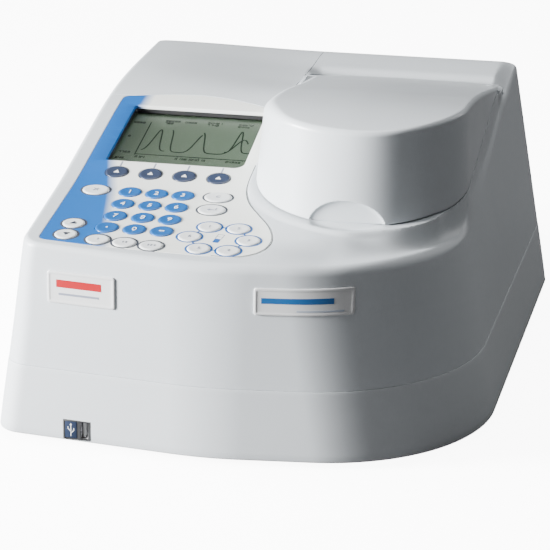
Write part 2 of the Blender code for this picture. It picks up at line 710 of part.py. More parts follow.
# ==== optics, lamp, detector, supply and fan =========================================================
# Monochromator: an open-topped case on a base plate, with a round hole in each side.
bench = part("monochromator_bench", "metal", box((-122, -120, 10), (-4, 110, 16)))
join(bench, box((-70, -60, 14), (-6, 104, 118)))
trim(bench, box((-67, -57, 40), (-9, 101, 130)),
     cylinder((-5, TURRET_Y + 20, CROSS_HOLE_Z), 4, 20, "X", 12),
     cylinder((-69, LAMP_Y, LAMP_HOLE_Z), 5, 12, "X", 12))
bake(bench)

# Grating mount: an upright plate on a round table.
GRATING_X, GRATING_Y = -38.0, 40.0
grating = part("grating_mount", "metal", cylinder((GRATING_X, GRATING_Y, 45), 14, 8, segments=28),
               origin=(GRATING_X, GRATING_Y, 41))
join(grating, box((GRATING_X - 3, GRATING_Y - 12, 48), (GRATING_X + 3, GRATING_Y + 12, 76)))
bake(grating)

# Lamp: an upright cylinder in an open-topped case with a round hole in its right side.
lamp = part("lamp_module", "dark", box((-120, 60, 17), (-75, 108, 96)))
trim(lamp, box((-117, 63, 30), (-78, 105, 110)),
     cylinder((-76, LAMP_Y, LAMP_HOLE_Z), 5, 12, "X", 12))
join(lamp, cylinder((-98, LAMP_Y, 52), 7, 50, segments=20))
bake(lamp)

part("detector_block", "metal", box((123.2, -82, 98), (131.4, -50, 126)))

# Supply: a block on two front legs, with seven slots in its top.
supply = part("power_supply", "metal", box((24, 60, 16), (112, 170, 56)))
join(supply, *[box((x, 64, 8), (x + 8, 72, 20)) for x in (28, 98)])
trim(supply, *[box((34 + 10 * i, 90, 40), (38 + 10 * i, 150, 70)) for i in range(7)])
bake(supply)

# Fan frame behind the rear slots: a square ring, and a bar carrying a round boss.
FRAME_HALF = 30
fan = part("fan_frame", "dark", box((FAN_X - FRAME_HALF, 176, FAN_Z - FRAME_HALF),
                                    (FAN_X + FRAME_HALF, 197.0, FAN_Z + FRAME_HALF)))
trim(fan, cylinder((FAN_X, 186, FAN_Z), 28, 40, "Y", 32))
join(fan, box((FAN_X - 29, 176.5, FAN_Z - 2.5), (FAN_X + 29, 179, FAN_Z + 2.5)),
     cylinder((FAN_X, 178, FAN_Z), 11, 3, "Y", 20))
bake(fan)

# Rotor: pitched blades on a hub.
BLADES, BLADE_PITCH = 7, math.radians(38)
rotor_centre = Vector((FAN_X, 188, FAN_Z))
rotor = part("fan_rotor", "dark", cylinder(rotor_centre, 11, 13, "Y"), origin=rotor_centre)
for k in range(BLADES):
    blade = helper(f"blade_{k}", box((-5.5, -0.8, 9), (5.5, 0.8, 26.6)))
    blade.matrix_world = (Matrix.Translation(rotor_centre * MM)
                          @ Matrix.Rotation(2 * math.pi * k / BLADES, 4, "Y")
                          @ Matrix.Rotation(BLADE_PITCH, 4, "Z"))
    combine(rotor, blade, "UNION")
bpy.context.view_layer.update()
bake(rotor)

# Inlet module: plug recess with three pins below, rocker opening above.
INLET_X = (INLET[0] + INLET[1]) / 2
RECESS_Z = (74, 91)
ROCKER_OPENING_Z = (97, 118)
PIN_OFFSETS = ((-7, -2), (7, -2), (0, 3.5))      # x, z from the middle of the recess
recess_mid = sum(RECESS_Z) / 2

inlet = part("power_inlet", "dark", box((INLET[0], 174, INLET[2]), (INLET[1], 202.2, INLET[3])))
trim(inlet, box((INLET_X - 11.6, 184, RECESS_Z[0]), (INLET_X + 11.6, 206, RECESS_Z[1])),
     box((INLET_X - 7.5, 186, ROCKER_OPENING_Z[0]), (INLET_X + 7.5, 206, ROCKER_OPENING_Z[1])))
join(inlet, *[box((INLET_X + x - 1, 183, recess_mid + z - 2),
                  (INLET_X + x + 1, 198, recess_mid + z + 2)) for x, z in PIN_OFFSETS])
bake(inlet)

# Rocker: tilted about the middle of its opening, its bevel left as a live modifier.
rocker = part("power_switch", "dark", box((-7, -4, -9.6), (7, 4.6, 9.6)))
rocker.location = Vector((INLET_X, 196.0, sum(ROCKER_OPENING_Z) / 2)) * MM
rocker.rotation_euler = (math.radians(-7), 0, 0)
bevel = rocker.modifiers.new("bevel", "BEVEL")
bevel.width = 0.8 * MM
bevel.segments = 1

# Socket block in the tray front: upright socket with a tongue on the right, shallow
# recess on the left.
usb = part("usb_socket", "dark", box((USB[0], -193.2, USB[2]), (USB[1], -172, USB[3])))
trim(usb, box((-95.0, -200, 5.9), (-90.2, -180, 18.0)),
     box((-105.7, -200, 6.0), (-97.4, -192.6, 17.8)))
join(usb, box((-93.9, -190, 6.6), (-92.3, -178, 17.2)))
bake(usb)

# Badges: plain plates standing just in front of the front wall.
BADGE_T, BADGE_STANDOFF = 1.4, 0.6
BADGE_STEPS = 8


def front_y(outline, x):
    """Front wall position at a given x, read from the plan outline."""
    front = 0.0
    for (xa, ya), (xb, yb) in zip(outline, outline[1:] + outline[:1]):
        if ya < -120 and yb < -120 and min(xa, xb) <= x <= max(xa, xb) and xa != xb:
            front = min(front, ya + (yb - ya) * (x - xa) / (xb - xa))
    return front


def badge(x0, x1, z0, z1):
    across = [x0 + (x1 - x0) * i / BADGE_STEPS for i in range(BADGE_STEPS + 1)]
    rings = []
    for z in (z0, z1):
        wall = plan(z)
        back = [(x, front_y(wall, x) - BADGE_STANDOFF, z) for x in across]
        rings.append([(x, y - BADGE_T, z) for x, y, z in back] + back[::-1])
    return loft(rings)


part("badge_left", "badge", badge(-115.5, -70.5, 96.5, 117.5))
part("badge_right", "badge", badge(18, 78, 101.5, 119.0))
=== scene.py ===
"""Looks of a bench spectrophotometer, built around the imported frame.

The instrument stands on z = 0 and faces -y, with +x on its right as seen from the front.
A tray and a housing meet at a belt line. The sloping deck carries a keypad film and a screen
on the left and a round-fronted lid on the right. Outlines and sizes are in millimetres and
become metres when a mesh is built; shader coordinates, lights and camera are in metres.
"""
import math

import bmesh
import bpy
import numpy as np
from mathutils import Matrix, Vector


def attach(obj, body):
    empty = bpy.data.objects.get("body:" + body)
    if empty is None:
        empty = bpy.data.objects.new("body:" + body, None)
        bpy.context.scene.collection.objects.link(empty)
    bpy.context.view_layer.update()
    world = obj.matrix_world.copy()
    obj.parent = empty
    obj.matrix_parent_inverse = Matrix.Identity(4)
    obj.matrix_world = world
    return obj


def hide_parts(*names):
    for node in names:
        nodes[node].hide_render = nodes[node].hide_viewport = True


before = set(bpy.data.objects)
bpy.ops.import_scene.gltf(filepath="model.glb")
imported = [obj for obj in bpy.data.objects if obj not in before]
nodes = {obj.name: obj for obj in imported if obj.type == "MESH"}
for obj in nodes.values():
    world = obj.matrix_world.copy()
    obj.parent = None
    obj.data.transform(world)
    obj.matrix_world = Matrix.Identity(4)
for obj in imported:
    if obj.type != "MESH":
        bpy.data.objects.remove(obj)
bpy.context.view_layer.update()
context = bpy.context
scene = context.scene
MM = 0.001

# ---------------------------------------------------------------------------
# guiding dimensions
# ---------------------------------------------------------------------------
REAR_Y = 200.0
BOTTOM_Z = 4.0                # underside of the tray
BELT_Z = 52.0                 # seam between tray and housing
HALF_W_REAR = 171.5           # half width at the rear, measured at z = 0
DRAFT = 0.1826                # inward lean of the walls per unit of height
WALL = 2.5
CORNER_X, CORNER_Y, CORNER_R = 20.0, -68.0, 116.0     # broad front right corner of the deck
LID_X, LID_Y, LID_R = 63.5, -69.0, 70.0               # half circle at the front of the lid
LID_REAR_Y = 135.4
LID_CORNER_LEFT, LID_CORNER_RIGHT = 19.0, 4.0         # rear corner radii
LID_WALL = 2.4
FINGER_X = 63.8               # middle of the finger recess in the lid's front wall
FINGER_REAR_Y = -100.0        # the recess lies wholly in front of this
SCREEN = (-112.0, -66.0, -18.0, 13.0)                 # left, front, right, rear
KEY_PITCH = 17.9
N_PLAN = 720                  # points round the casing


# ---------------------------------------------------------------------------
# curves
# ---------------------------------------------------------------------------
def ease(value, start=0.0, run=1.0):
    """Smooth step from 0 to 1 while value goes from start to start + run."""
    t = np.clip((value - start) / run, 0.0, 1.0)
    return t * t * (3 - 2 * t)


def bell(value, middle, width):
    return np.exp(-(((value - middle) / width) ** 2))


def smooth_table(stops, blur):
    """A smooth reading of (position, value) stops: straight runs, softened."""
    grid = np.arange(-300.0, 300.0, 0.5)
    values = np.interp(grid, [s[0] for s in stops], [s[1] for s in stops])
    kernel = np.exp(-0.5 * (np.arange(-40, 41) * 0.5 / blur) ** 2)
    kernel /= kernel.sum()
    values = np.convolve(np.pad(values, 40, mode="edge"), kernel, mode="valid")
    return lambda x: np.interp(x, grid, values)


# steepness of the console: (y, rise per unit of y)
CONSOLE_SLOPE = [(-230, 0.155), (-110, 0.155), (-80, 0.235), (-5, 0.235), (100, 0.0),
                 (198, -0.045), (230, -0.045)]
CONSOLE_FRONT = (-198.0, 132.5)       # y and z of a point on the console's front
GRID_Y = np.arange(-240, 240.01, 0.25)
GRID_SLOPE = np.interp(GRID_Y, [y for y, _ in CONSOLE_SLOPE], [s for _, s in CONSOLE_SLOPE])
GRID_Z = np.concatenate([[0], np.cumsum((GRID_SLOPE[1:] + GRID_SLOPE[:-1]) / 2 * 0.25)])
GRID_Z += CONSOLE_FRONT[1] - np.interp(CONSOLE_FRONT[0], GRID_Y, GRID_Z)


def console(y):
    """Height of the console, the sheet that carries the keypad."""
    return np.interp(y, GRID_Y, GRID_Z)


def slope(y):
    return np.interp(y, GRID_Y, GRID_SLOPE)


# height of the deck's outer edge: (y, z)
rim = smooth_table([(-205, 131.5), (-162, 132), (-130, 131), (-97, 130.5), (-54, 134),
                    (-9, 142), (39, 150), (85, 160), (131, 168), (171, 174), (205, 177.5)],
                   blur=9)
# height of the lid's top along its middle: (y, z)
crown_y = smooth_table([(-150, 200.4), (-138, 203.3), (-120, 206.6), (-100, 208.6),
                        (-80, 208.9), (-60, 207.6), (-29, 204.2), (18, 196.4), (66, 187.6),
                        (100, 181), (136, 175), (200, 164)], blur=8)


def crown(x, y):
    """Top of the lid, falling a little more to the left than to the right."""
    across = (x - LID_X) / LID_R
    left_fall = 1.8 * np.clip(-across, 0, 2) ** 1.5 * (1 - ease(y, 20, 90))
    return crown_y(y) - 1.0 * across ** 2 - left_fall


def right_x(y, z):
    """Position of the right wall."""
    return HALF_W_REAR - 0.04314 * (REAR_Y - y) - DRAFT * z


def lid_half_width(y, radius):
    """The lid widens slightly from the half circle to the rear."""
    return radius + 1.5 * (y - LID_Y) / 204


def lid_distance(x, y):
    """Distance outside the lid's outline."""
    ahead = np.hypot(x - LID_X, y - LID_Y) - LID_R
    side = np.abs(x - LID_X) - lid_half_width(y, LID_R)
    return np.where(y < LID_Y, ahead, np.maximum(side, y - LID_REAR_Y))


def right_rim(x, y):
    """Distance in from the deck's edge on the right and right front, and y of that edge."""
    dist = np.maximum(np.hypot(x - CORNER_X, y - CORNER_Y), 1e-6)
    corner = (x > CORNER_X) & (y < CORNER_Y)
    gap = np.where(corner, CORNER_R - dist, right_x(y, rim(y)) - x)
    near_y = np.where(corner, CORNER_Y - CORNER_R * (CORNER_Y - y) / dist, y)
    return gap, near_y


def deck_base(x, y):
    """Deck without the lid's surroundings: the console, blended into the rim on the right."""
    hollow = (4.5 - 2.5 * ease(y, 140, 58)) * ease(x, -130, 120) * ease(y, 40, 60)
    groove = 3.0 * bell(y, 136, 9.0) * ease(x, -12, 10)       # behind the lid
    inner = console(y) - hollow - groove
    gap, near_y = right_rim(x, y)
    reach = 12.0 + 16.0 * ease(-115 - near_y, 0, 50)
    share = (1 - ease(gap, 0, reach)) * np.where(y < CORNER_Y, ease(x, 16, 46), 1.0)
    return inner + (rim(near_y) - inner) * share


def deck(x, y):
    """Visible top surface: the deck, a raised collar round the front of the lid, a skirt
    from it to the rim at the right front, and a rounded shoulder along the right side."""
    x, y = np.asarray(x, float), np.asarray(y, float)
    base = deck_base(x, y)
    beyond = lid_distance(x, y)
    gap, near_y = right_rim(x, y)
    gap = np.clip(gap, 0, 400)
    right = ease(x, LID_X, 30)
    # collar, fading out towards the rear, with a dimple under the finger recess
    presence = right * (1 - ease(y, -78, 26)) + (1 - right) * (1 - ease(y, -30, 50))
    in_front = y < FINGER_REAR_Y
    across = (x - FINGER_X) / 23.0
    dimple = 2.3 * (np.clip(1 - across * across, 0, 1) ** 0.7 * bell(beyond, 0.4, 2.7) * in_front)
    top = console(y) + 1.5 - dimple
    reach = 5.0 + 2.4 * bell(x, 62.0, 17.0) * in_front
    collar = (1 - ease(beyond, reach, 2.6)) * presence
    plain = base + np.maximum(top - base, -dimple) * collar
    # right-hand profile: a flat ring beside the lid, then a fall to the rim
    width = np.clip(beyond, 0, 400) + gap
    lid_line = np.minimum(141.9 + 0.165 * (y + 140), base + 30)
    lid_line = np.minimum(lid_line, 177.2)
    ring = np.minimum(5.0, 0.42 * width) * ease(width, 5, 5)
    left = 1 - np.clip((beyond - ring) / np.maximum(width - ring, 0.5), 0, 1)
    wide = ease(width, 4.5, 12)
    fall = (1 - wide) * (0.62 * left ** 9 + 0.38 * left ** 1.35) + wide * left ** 2.4
    edge = rim(near_y)
    side = edge + (lid_line + 0.9 * ease(width, 5, 5) - edge) * fall
    share = right * (1 - ease(width, 22, 26)) * (1 - ease(y, 118, 14))
    return plain + (side - plain) * share


# ---------------------------------------------------------------------------
# outlines: arrays of x, y points
# ---------------------------------------------------------------------------
def closed(line):
    return np.vstack([line, line[:1]])


def run_length(line):
    return np.concatenate([[0], np.cumsum(np.hypot(*np.diff(line, axis=0).T))])


def read_line(line, marks, where):
    """Points of a line at given places along its marks."""
    return np.stack([np.interp(where, marks, line[:, 0]),
                     np.interp(where, marks, line[:, 1])], 1)


def dense(poly, step):
    """Resamples a closed outline at even steps."""
    line = closed(poly)
    marks = run_length(line)
    count = max(8, int(round(marks[-1] / step)))
    return read_line(line, marks, np.linspace(0, marks[-1], count, endpoint=False))


def rounded(corners, radii, steps):
    """Polygon with an arc of its own radius and step count at each corner."""
    out = []
    for i, corner in enumerate(corners):
        point = np.array(corner, float)
        back = np.array(corners[i - 1], float) - point
        ahead = np.array(corners[(i + 1) % len(corners)], float) - point
        back /= np.linalg.norm(back)
        ahead /= np.linalg.norm(ahead)
        angle = math.acos(float(np.clip(back @ ahead, -1, 1)))
        run = radii[i] / math.tan(angle / 2)
        bisector = (back + ahead) / np.linalg.norm(back + ahead)
        centre = point + bisector * radii[i] / math.sin(angle / 2)
        start, end = point + back * run - centre, point + ahead * run - centre
        first, last = math.atan2(start[1], start[0]), math.atan2(end[1], end[0])
        turn = (last - first + math.pi) % (2 * math.pi) - math.pi
        for k in range(steps[i] + 1):
            t = first + turn * k / steps[i]
            out.append((centre[0] + radii[i] * math.cos(t), centre[1] + radii[i] * math.sin(t)))
    return np.array(out)


def plan_raw(z):
    """Outline of the casing at a height."""
    lean = DRAFT * z
    left = 0.158 * z                     # the left wall stands a little steeper
    tight = float(ease(z, 70, 55))       # the front left corner tightens towards the top
    corners = [(HALF_W_REAR - lean, REAR_Y), (-HALF_W_REAR + left, REAR_Y),
               (-155.2 + left, -188), (-12, -203.2), (155.0 - lean, -182.5)]
    return rounded(corners, [6, 6, 18 - 4 * tight, 200, 118], [24, 24, 48, 40, 120])


def even_marks():
    """Fractional positions along the raw outline, evenly spread at deck height."""
    marks = run_length(closed(plan_raw(132.0)))
    even = np.linspace(0, marks[-1], N_PLAN, endpoint=False)
    return np.interp(even, marks, np.arange(len(marks)))


PLAN_MARKS = even_marks()


def plan(z):
    line = closed(plan_raw(z))
    return read_line(line, np.arange(len(line)), PLAN_MARKS)


PLAN_STEP = 4.0
PLAN_STACK = np.stack([plan(z) for z in np.arange(0, 200, PLAN_STEP)])


def plan_at(z):
    """Plan points at a different height for each point."""
    level = np.clip(np.broadcast_to(z, (N_PLAN,)) / PLAN_STEP, 0, len(PLAN_STACK) - 1.001)
    below = level.astype(int)
    t = (level - below)[:, None]
    k = np.arange(N_PLAN)
    return PLAN_STACK[below, k] * (1 - t) + PLAN_STACK[below + 1, k] * t


def catmull(points):
    """Smooth curve through the stops, with eight steps to a span."""
    stops = [np.array(p, float) for p in points]
    out = []
    for i in range(len(stops) - 1):
        p1, p2 = stops[i], stops[i + 1]
        p0 = stops[i - 1] if i > 0 else 2 * p1 - p2
        p3 = stops[i + 2] if i + 2 < len(stops) else 2 * p2 - p1
        for k in range(8):
            t = k / 8
            out.append(0.5 * ((2 * p1) + (-p0 + p2) * t + (2 * p0 - 5 * p1 + 4 * p2 - p3) * t * t
                              + (-p0 + 3 * p1 - 3 * p2 + p3) * t ** 3))
    out.append(stops[-1])
    return np.array(out)


def arc(centre_x, centre_y, radius, start, end, count):
    t = np.radians(np.linspace(start, end, count))
    return np.stack([centre_x + radius * np.cos(t), centre_y + radius * np.sin(t)], 1)


def corner_arcs(x0, y0, x1, y1, radii, counts):
    """Corner arcs of a rectangle, anticlockwise from the one at x1, y1."""
    places = ((x1, y1, -1, -1), (x0, y1, 1, -1), (x0, y0, 1, 1), (x1, y0, -1, 1))
    return [arc(x + side_x * r, y + side_y * r, r, 90 * i, 90 * i + 90, n)
            for i, ((x, y, side_x, side_y), r, n) in enumerate(zip(places, radii, counts))]


def rounded_rect(x0, y0, x1, y1, radius):
    return np.vstack(corner_arcs(x0, y0, x1, y1, [radius] * 4, [6] * 4))


def unit(vectors):
    return vectors / np.maximum(np.linalg.norm(vectors, axis=1, keepdims=True), 1e-9)


def outward(along):
    return np.stack([along[:, 1], -along[:, 0]], 1)


def offset(poly, distance):
    """Moves a closed anticlockwise outline outwards."""
    arriving = unit(poly - np.roll(poly, 1, 0))
    leaving = unit(np.roll(poly, -1, 0) - poly)
    normal = outward(unit(arriving + leaving))
    squeeze = np.clip(np.sqrt((1 + (arriving * leaving).sum(1)) / 2), 0.5, 1)
    return poly + normal * (distance / squeeze)[:, None]


# keypad film, x and y: bowed front edge, then the S-shaped right edge up to the screen's rear
PANEL_FRONT_RIGHT = [
    (-119.2, -182.6), (-80, -186.4), (-34, -188.8), (-2, -188.9), (10, -185.6), (17.8, -178.6),
    (21.4, -168.5), (20.8, -157), (15.5, -142.8), (6.5, -128.5), (-2.6, -113.5), (-7.8, -99),
    (-9.7, -85), (-9.8, -60), (-9.5, -20), (-9.4, 8)]
# arched rear edge, from right to left
PANEL_REAR = [(-9.4, 8), (-10.4, 13.5), (-14, 17.8), (-23, 22.4), (-35, 27.6), (-52, 33),
              (-71.5, 35.6), (-92, 34), (-108, 31), (-117.5, 28.8)]
PANEL = dense(np.vstack([catmull(PANEL_FRONT_RIGHT), catmull(PANEL_REAR)[1:],
                         arc(-118.6, 23.4, 5.4, 80, 180, 8),
                         arc(-119.1, -178.1, 4.5, 180, 268, 8)]), 1.2)


def lid_front(radius, arc_n):
    """Half circle from the lid's left side round the front to its right side."""
    t = math.pi * np.arange(arc_n + 1) / arc_n
    return np.stack([LID_X - radius * np.cos(t), LID_Y - radius * np.sin(t)], 1)


def lid_outline(grow, rear, arc_n=220, side_n=100):
    """Lid outline cut square at the rear."""
    y = np.linspace(LID_Y, rear, side_n + 1)[1:]
    half = lid_half_width(y, LID_R + grow)
    right = np.stack([LID_X + half, y], 1)
    left = np.stack([LID_X - half, y], 1)[::-1]
    return np.vstack([lid_front(LID_R + grow, arc_n), right, left])


def lid_back(grow, arc_n=220, side_n=100):
    """Lid outline with rounded rear corners: the left one broad, the right one tight."""
    radius, rear = LID_R + grow, LID_REAR_Y + grow
    halves = []
    for sign, corner in ((1, LID_CORNER_RIGHT + grow), (-1, LID_CORNER_LEFT + grow)):
        y = np.linspace(LID_Y, rear - corner, side_n + 1)[1:]
        side = np.stack([LID_X + sign * lid_half_width(y, radius), y], 1)
        half = lid_half_width(rear - corner, radius)
        t = np.radians(np.linspace(0, 90, 15))[1:]
        turn = np.stack([LID_X + sign * (half - corner + corner * np.cos(t)),
                         rear - corner + corner * np.sin(t)], 1)
        edge_x = np.linspace(turn[-1, 0], LID_X, 13)[1:]
        halves.append(np.vstack([side, turn, np.stack([edge_x, np.full(12, rear)], 1)]))
    return np.vstack([lid_front(radius, arc_n), halves[0], halves[1][:-1][::-1]])


# ---------------------------------------------------------------------------
# mesh helpers
# ---------------------------------------------------------------------------
def new_mesh(name, verts, faces):
    mesh = bpy.data.meshes.new(name)
    mesh.from_pydata(np.asarray(verts, float).tolist(), [],
                     [tuple(int(i) for i in f) for f in faces])
    mesh.update()
    return mesh


def new_object(name, data):
    ob = bpy.data.objects.new(name, data)
    scene.collection.objects.link(ob)
    return ob


def mesh_object(name, verts, faces, mat=None, sharp=38):
    ob = new_object(name, new_mesh(name, np.asarray(verts, float) * MM, faces))
    shade(ob, sharp)
    if mat:
        ob.data.materials.append(mat)
    return ob


def shade(ob, angle):
    """Smooth shading, with edges sharper than the angle in degrees kept sharp."""
    ob.data.polygons.foreach_set("use_smooth", [True] * len(ob.data.polygons))
    ob.data.set_sharp_from_angle(angle=math.radians(angle))
    ob.data.update()


def ring_faces(count, n, first=False, last=False):
    """Quads between consecutive rings of n points, and optional caps on the end rings."""
    i = np.arange(n)
    j = (i + 1) % n
    out = []
    for a in range(0, (count - 1) * n, n):
        out += np.stack([a + i, a + j, a + n + j, a + n + i], 1).tolist()
    if first:
        out.append(list(range(n))[::-1])
    if last:
        out.append([(count - 1) * n + k for k in range(n)])
    return out


def frame_faces(n):
    """Faces of a closed band made of four rings."""
    return ring_faces(4, n) + [(3 * n + i, 3 * n + (i + 1) % n, (i + 1) % n, i)
                               for i in range(n)]


def loft_object(name, rings, mat=None, sharp=38):
    """Closed solid through rings of equal length."""
    faces = ring_faces(len(rings), len(rings[0]), first=True, last=True)
    ob = mesh_object(name, np.vstack(rings), faces, mat, sharp)
    fix_normals(ob)
    shade(ob, sharp)
    return ob


def fix_normals(ob):
    bm = bmesh.new()
    bm.from_mesh(ob.data)
    bmesh.ops.recalc_face_normals(bm, faces=bm.faces)
    bm.to_mesh(ob.data)
    bm.free()


def lift(outline, z):
    """Outline to 3D points at a height or at a function of x and y."""
    height = z(outline[:, 0], outline[:, 1]) if callable(z) else np.full(len(outline), float(z))
    return np.column_stack([outline, height])


def prism(outline, z0, z1):
    return loft_object("cutter", [lift(outline, z0), lift(outline, z1)])


def lipped_cutter(outline, surface, depth=12.0, lip=0.45, top=9.0):
    """Cutter for an opening that flares at the surface, so that the edge has a soft lip."""
    def ring(line, drop):
        return lift(line, lambda x, y: surface(x, y) - drop)

    rings = [ring(outline, depth), ring(outline, lip * 1.3)]
    for k in range(1, 5):
        a = math.pi / 2 * k / 4
        rings.append(ring(offset(outline, lip * (1 - math.cos(a))), lip * 1.3 * (1 - math.sin(a))))
    rings.append(ring(offset(outline, lip), -top))
    return loft_object("cutter", rings)


def apply(ob):
    """Replaces the mesh with its evaluated form."""
    context.view_layer.update()
    mesh = bpy.data.meshes.new_from_object(ob.evaluated_get(context.evaluated_depsgraph_get()))
    old = ob.data
    ob.modifiers.clear()
    ob.data = mesh
    bpy.data.meshes.remove(old)


def boolean(ob, others, how="DIFFERENCE", solver="MANIFOLD"):
    """Combines with the other objects, which are used up."""
    for other in others:
        mod = ob.modifiers.new("b", "BOOLEAN")
        mod.operation, mod.object, mod.solver = how, other, solver
    apply(ob)
    for other in others:
        mesh = other.data
        bpy.data.objects.remove(other, do_unlink=True)
        if mesh.users == 0:
            bpy.data.meshes.remove(mesh)


def solidify(ob, thickness):
    mod = ob.modifiers.new("s", "SOLIDIFY")
    mod.thickness, mod.offset = thickness * MM, -1
    mod.use_even_offset = False
    apply(ob)


def box(name, low, high, mat=None, bevel=0.0):
    bm = bmesh.new()
    mid = [(a + b) / 2 for a, b in zip(low, high)]
    size = [b - a for a, b in zip(low, high)]
    bmesh.ops.create_cube(bm, size=1, matrix=Matrix.Translation(mid) @ Matrix.Diagonal((*size, 1)))
    if bevel:
        bmesh.ops.bevel(bm, geom=bm.edges[:], offset=bevel, segments=3, profile=0.5,
                        affect="EDGES")
    bmesh.ops.transform(bm, matrix=Matrix.Scale(MM, 4), verts=bm.verts)
    mesh = bpy.data.meshes.new(name)
    bm.to_mesh(mesh)
    bm.free()
    ob = new_object(name, mesh)
    shade(ob, 35)
    if mat:
        mesh.materials.append(mat)
    return ob


def ellipse(half_x, half_y, z, n):
    t = 2 * np.pi * np.arange(n) / n
    return np.column_stack([half_x * np.cos(t), half_y * np.sin(t), np.full(n, float(z))])


def turned(name, profile, centre, axis="Z", mat=None, n=64):
    """Profile of (radius, height) turned about the X or Z axis through a centre."""
    order = [2, 0, 1] if axis == "X" else [0, 1, 2]
    rings = [ellipse(r, r, h, n)[:, order] + np.array(centre, float) for r, h in profile]
    return loft_object(name, rings, mat, sharp=35)


def place(ob, body, replaces=None):
    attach(ob, body)
    if replaces:
        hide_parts(replaces)


def set_material(ob, mat):
    ob.data.materials.clear()
    ob.data.materials.append(mat)


def finish(ob, mat, sharp):
    set_material(ob, mat)
    shade(ob, sharp)


def merge(name, objs):
    """Joins meshes into one object, keeping their materials."""
    bm = bmesh.new()
    mats = []
    for ob in objs:
        start = len(bm.faces)
        bm.from_mesh(ob.data)
        bm.faces.ensure_lookup_table()
        remap = []
        for mat in (ob.data.materials[:] or [None]):
            if mat not in mats:
                mats.append(mat)
            remap.append(mats.index(mat))
        for f in bm.faces[start:]:
            f.material_index = remap[min(f.material_index, len(remap) - 1)]
    mesh = bpy.data.meshes.new(name)
    bm.to_mesh(mesh)
    bm.free()
    for mat in mats:
        if mat:
            mesh.materials.append(mat)
    joined = new_object(name, mesh)
    for ob in objs:
        bpy.data.objects.remove(ob, do_unlink=True)
    return joined


# ---------------------------------------------------------------------------
# materials
# ---------------------------------------------------------------------------
class Graph:
    """Small builder for a node tree."""

    def __init__(self, tree):
        self.tree = tree

    def node(self, kind, **settings):
        node = self.tree.nodes.new(kind)
        for key, value in settings.items():
            setattr(node, key, value)
        return node

    def put(self, socket, value):
        """Links a socket or sets a plain value."""
        if isinstance(value, bpy.types.NodeSocket):
            self.tree.links.new(value, socket)
        else:
            socket.default_value = value

    def math(self, operation, a, b=None):
        node = self.node("ShaderNodeMath", operation=operation)
        self.put(node.inputs[0], a)
        if b is not None:
            self.put(node.inputs[1], b)
        return node.outputs[0]

    def ramp(self, value, across=(0.3, 0.7), to=(0.0, 1.0)):
        """Straight, clamped mapping of one range to another."""
        node = self.node("ShaderNodeMapRange")
        names = ("Value", "From Min", "From Max", "To Min", "To Max")
        for name, setting in zip(names, (value, *across, *to)):
            self.put(node.inputs[name], setting)
        return node.outputs["Result"]

    def mix(self, factor, a, b):
        node = self.node("ShaderNodeMix", data_type="RGBA", blend_type="MIX")
        for name, setting in zip(("Factor", "A", "B"), (factor, a, b)):
            self.put(node.inputs[name], setting)
        return node.outputs["Result"]

    def split(self, vector):
        node = self.node("ShaderNodeSeparateXYZ")
        self.put(node.inputs[0], vector)
        return node.outputs


SOCKETS = {"color": "Base Color", "rough": "Roughness", "metal": "Metallic",
           "normal": "Normal", "coat": "Coat Weight", "coat_rough": "Coat Roughness",
           "spec": "Specular IOR Level", "trans": "Transmission Weight", "ior": "IOR",
           "emit": "Emission Color", "emit_strength": "Emission Strength"}


class Mat(Graph):
    """Node material in object space."""

    def __init__(self, name):
        self.material = bpy.data.materials.new(name)
        self.material.use_nodes = True
        super().__init__(self.material.node_tree)
        self.place = self.node("ShaderNodeTexCoord").outputs["Object"]

    def noise(self, scale, detail=3.0, rough=0.5, vector=None):
        node = self.node("ShaderNodeTexNoise", noise_dimensions="3D")
        for name, value in (("Vector", vector or self.place), ("Scale", scale),
                            ("Detail", detail), ("Roughness", rough)):
            self.put(node.inputs[name], value)
        return node.outputs["Fac"]

    def bump(self, height, strength, distance):
        node = self.node("ShaderNodeBump")
        for name, value in (("Height", height), ("Strength", strength), ("Distance", distance)):
            self.put(node.inputs[name], value)
        return node.outputs["Normal"]

    def edges(self):
        """1 on sharp convex edges, 0 elsewhere."""
        geometry = self.node("ShaderNodeNewGeometry")
        return self.ramp(geometry.outputs["Pointiness"], across=(0.52, 0.62))

    def finish(self, **values):
        """Sets the surface inputs and gives the material."""
        surface = self.tree.nodes["Principled BSDF"]
        for key, value in values.items():
            self.put(surface.inputs[SOCKETS[key]], value)
        return self.material


def scaled(color, factor, lift_by=0.0):
    return tuple(min(1.0, c * factor + lift_by) for c in color[:3]) + (1,)


def plastic(name, color, rough, grain, grain_scale=2600.0, spec=0.5, wear=0.0,
            wear_color=None, coat=0.0):
    """Moulded plastic: fine grain, faint colour drift, slight sheen and worn edges."""
    m = Mat(name)
    drift = m.noise(scale=9.0, detail=4.0, rough=0.55)
    fine = m.noise(scale=grain_scale, detail=2.0, rough=0.6)
    medium = m.noise(scale=grain_scale * 0.22, rough=0.55)
    shade_of = m.mix(m.ramp(drift), scaled(color, 1 - 0.02), scaled(color, 1 + 0.02))
    shade_of = m.mix(m.ramp(fine, across=(0.35, 0.65), to=(0.0, 0.05)), shade_of,
                     scaled(color, 0.8))
    if wear:
        patches = m.ramp(m.noise(scale=140.0, detail=4.0, rough=0.7),
                         across=(0.45, 0.62), to=(0.0, wear))
        shade_of = m.mix(m.math("MULTIPLY", m.edges(), patches), shade_of,
                         wear_color or scaled(color, 1.25, lift_by=0.03))
    sheen = m.ramp(m.noise(scale=26.0, detail=5.0, rough=0.6), to=(rough - 0.045, rough + 0.045))
    height = m.math("ADD", m.math("MULTIPLY", fine, 0.7), m.math("MULTIPLY", medium, 0.3))
    return m.finish(color=shade_of, rough=m.math("ADD", sheen, m.ramp(fine, to=(-0.03, 0.03))),
                    normal=m.bump(height, strength=grain, distance=0.00006), spec=spec,
                    coat=coat, coat_rough=0.25)


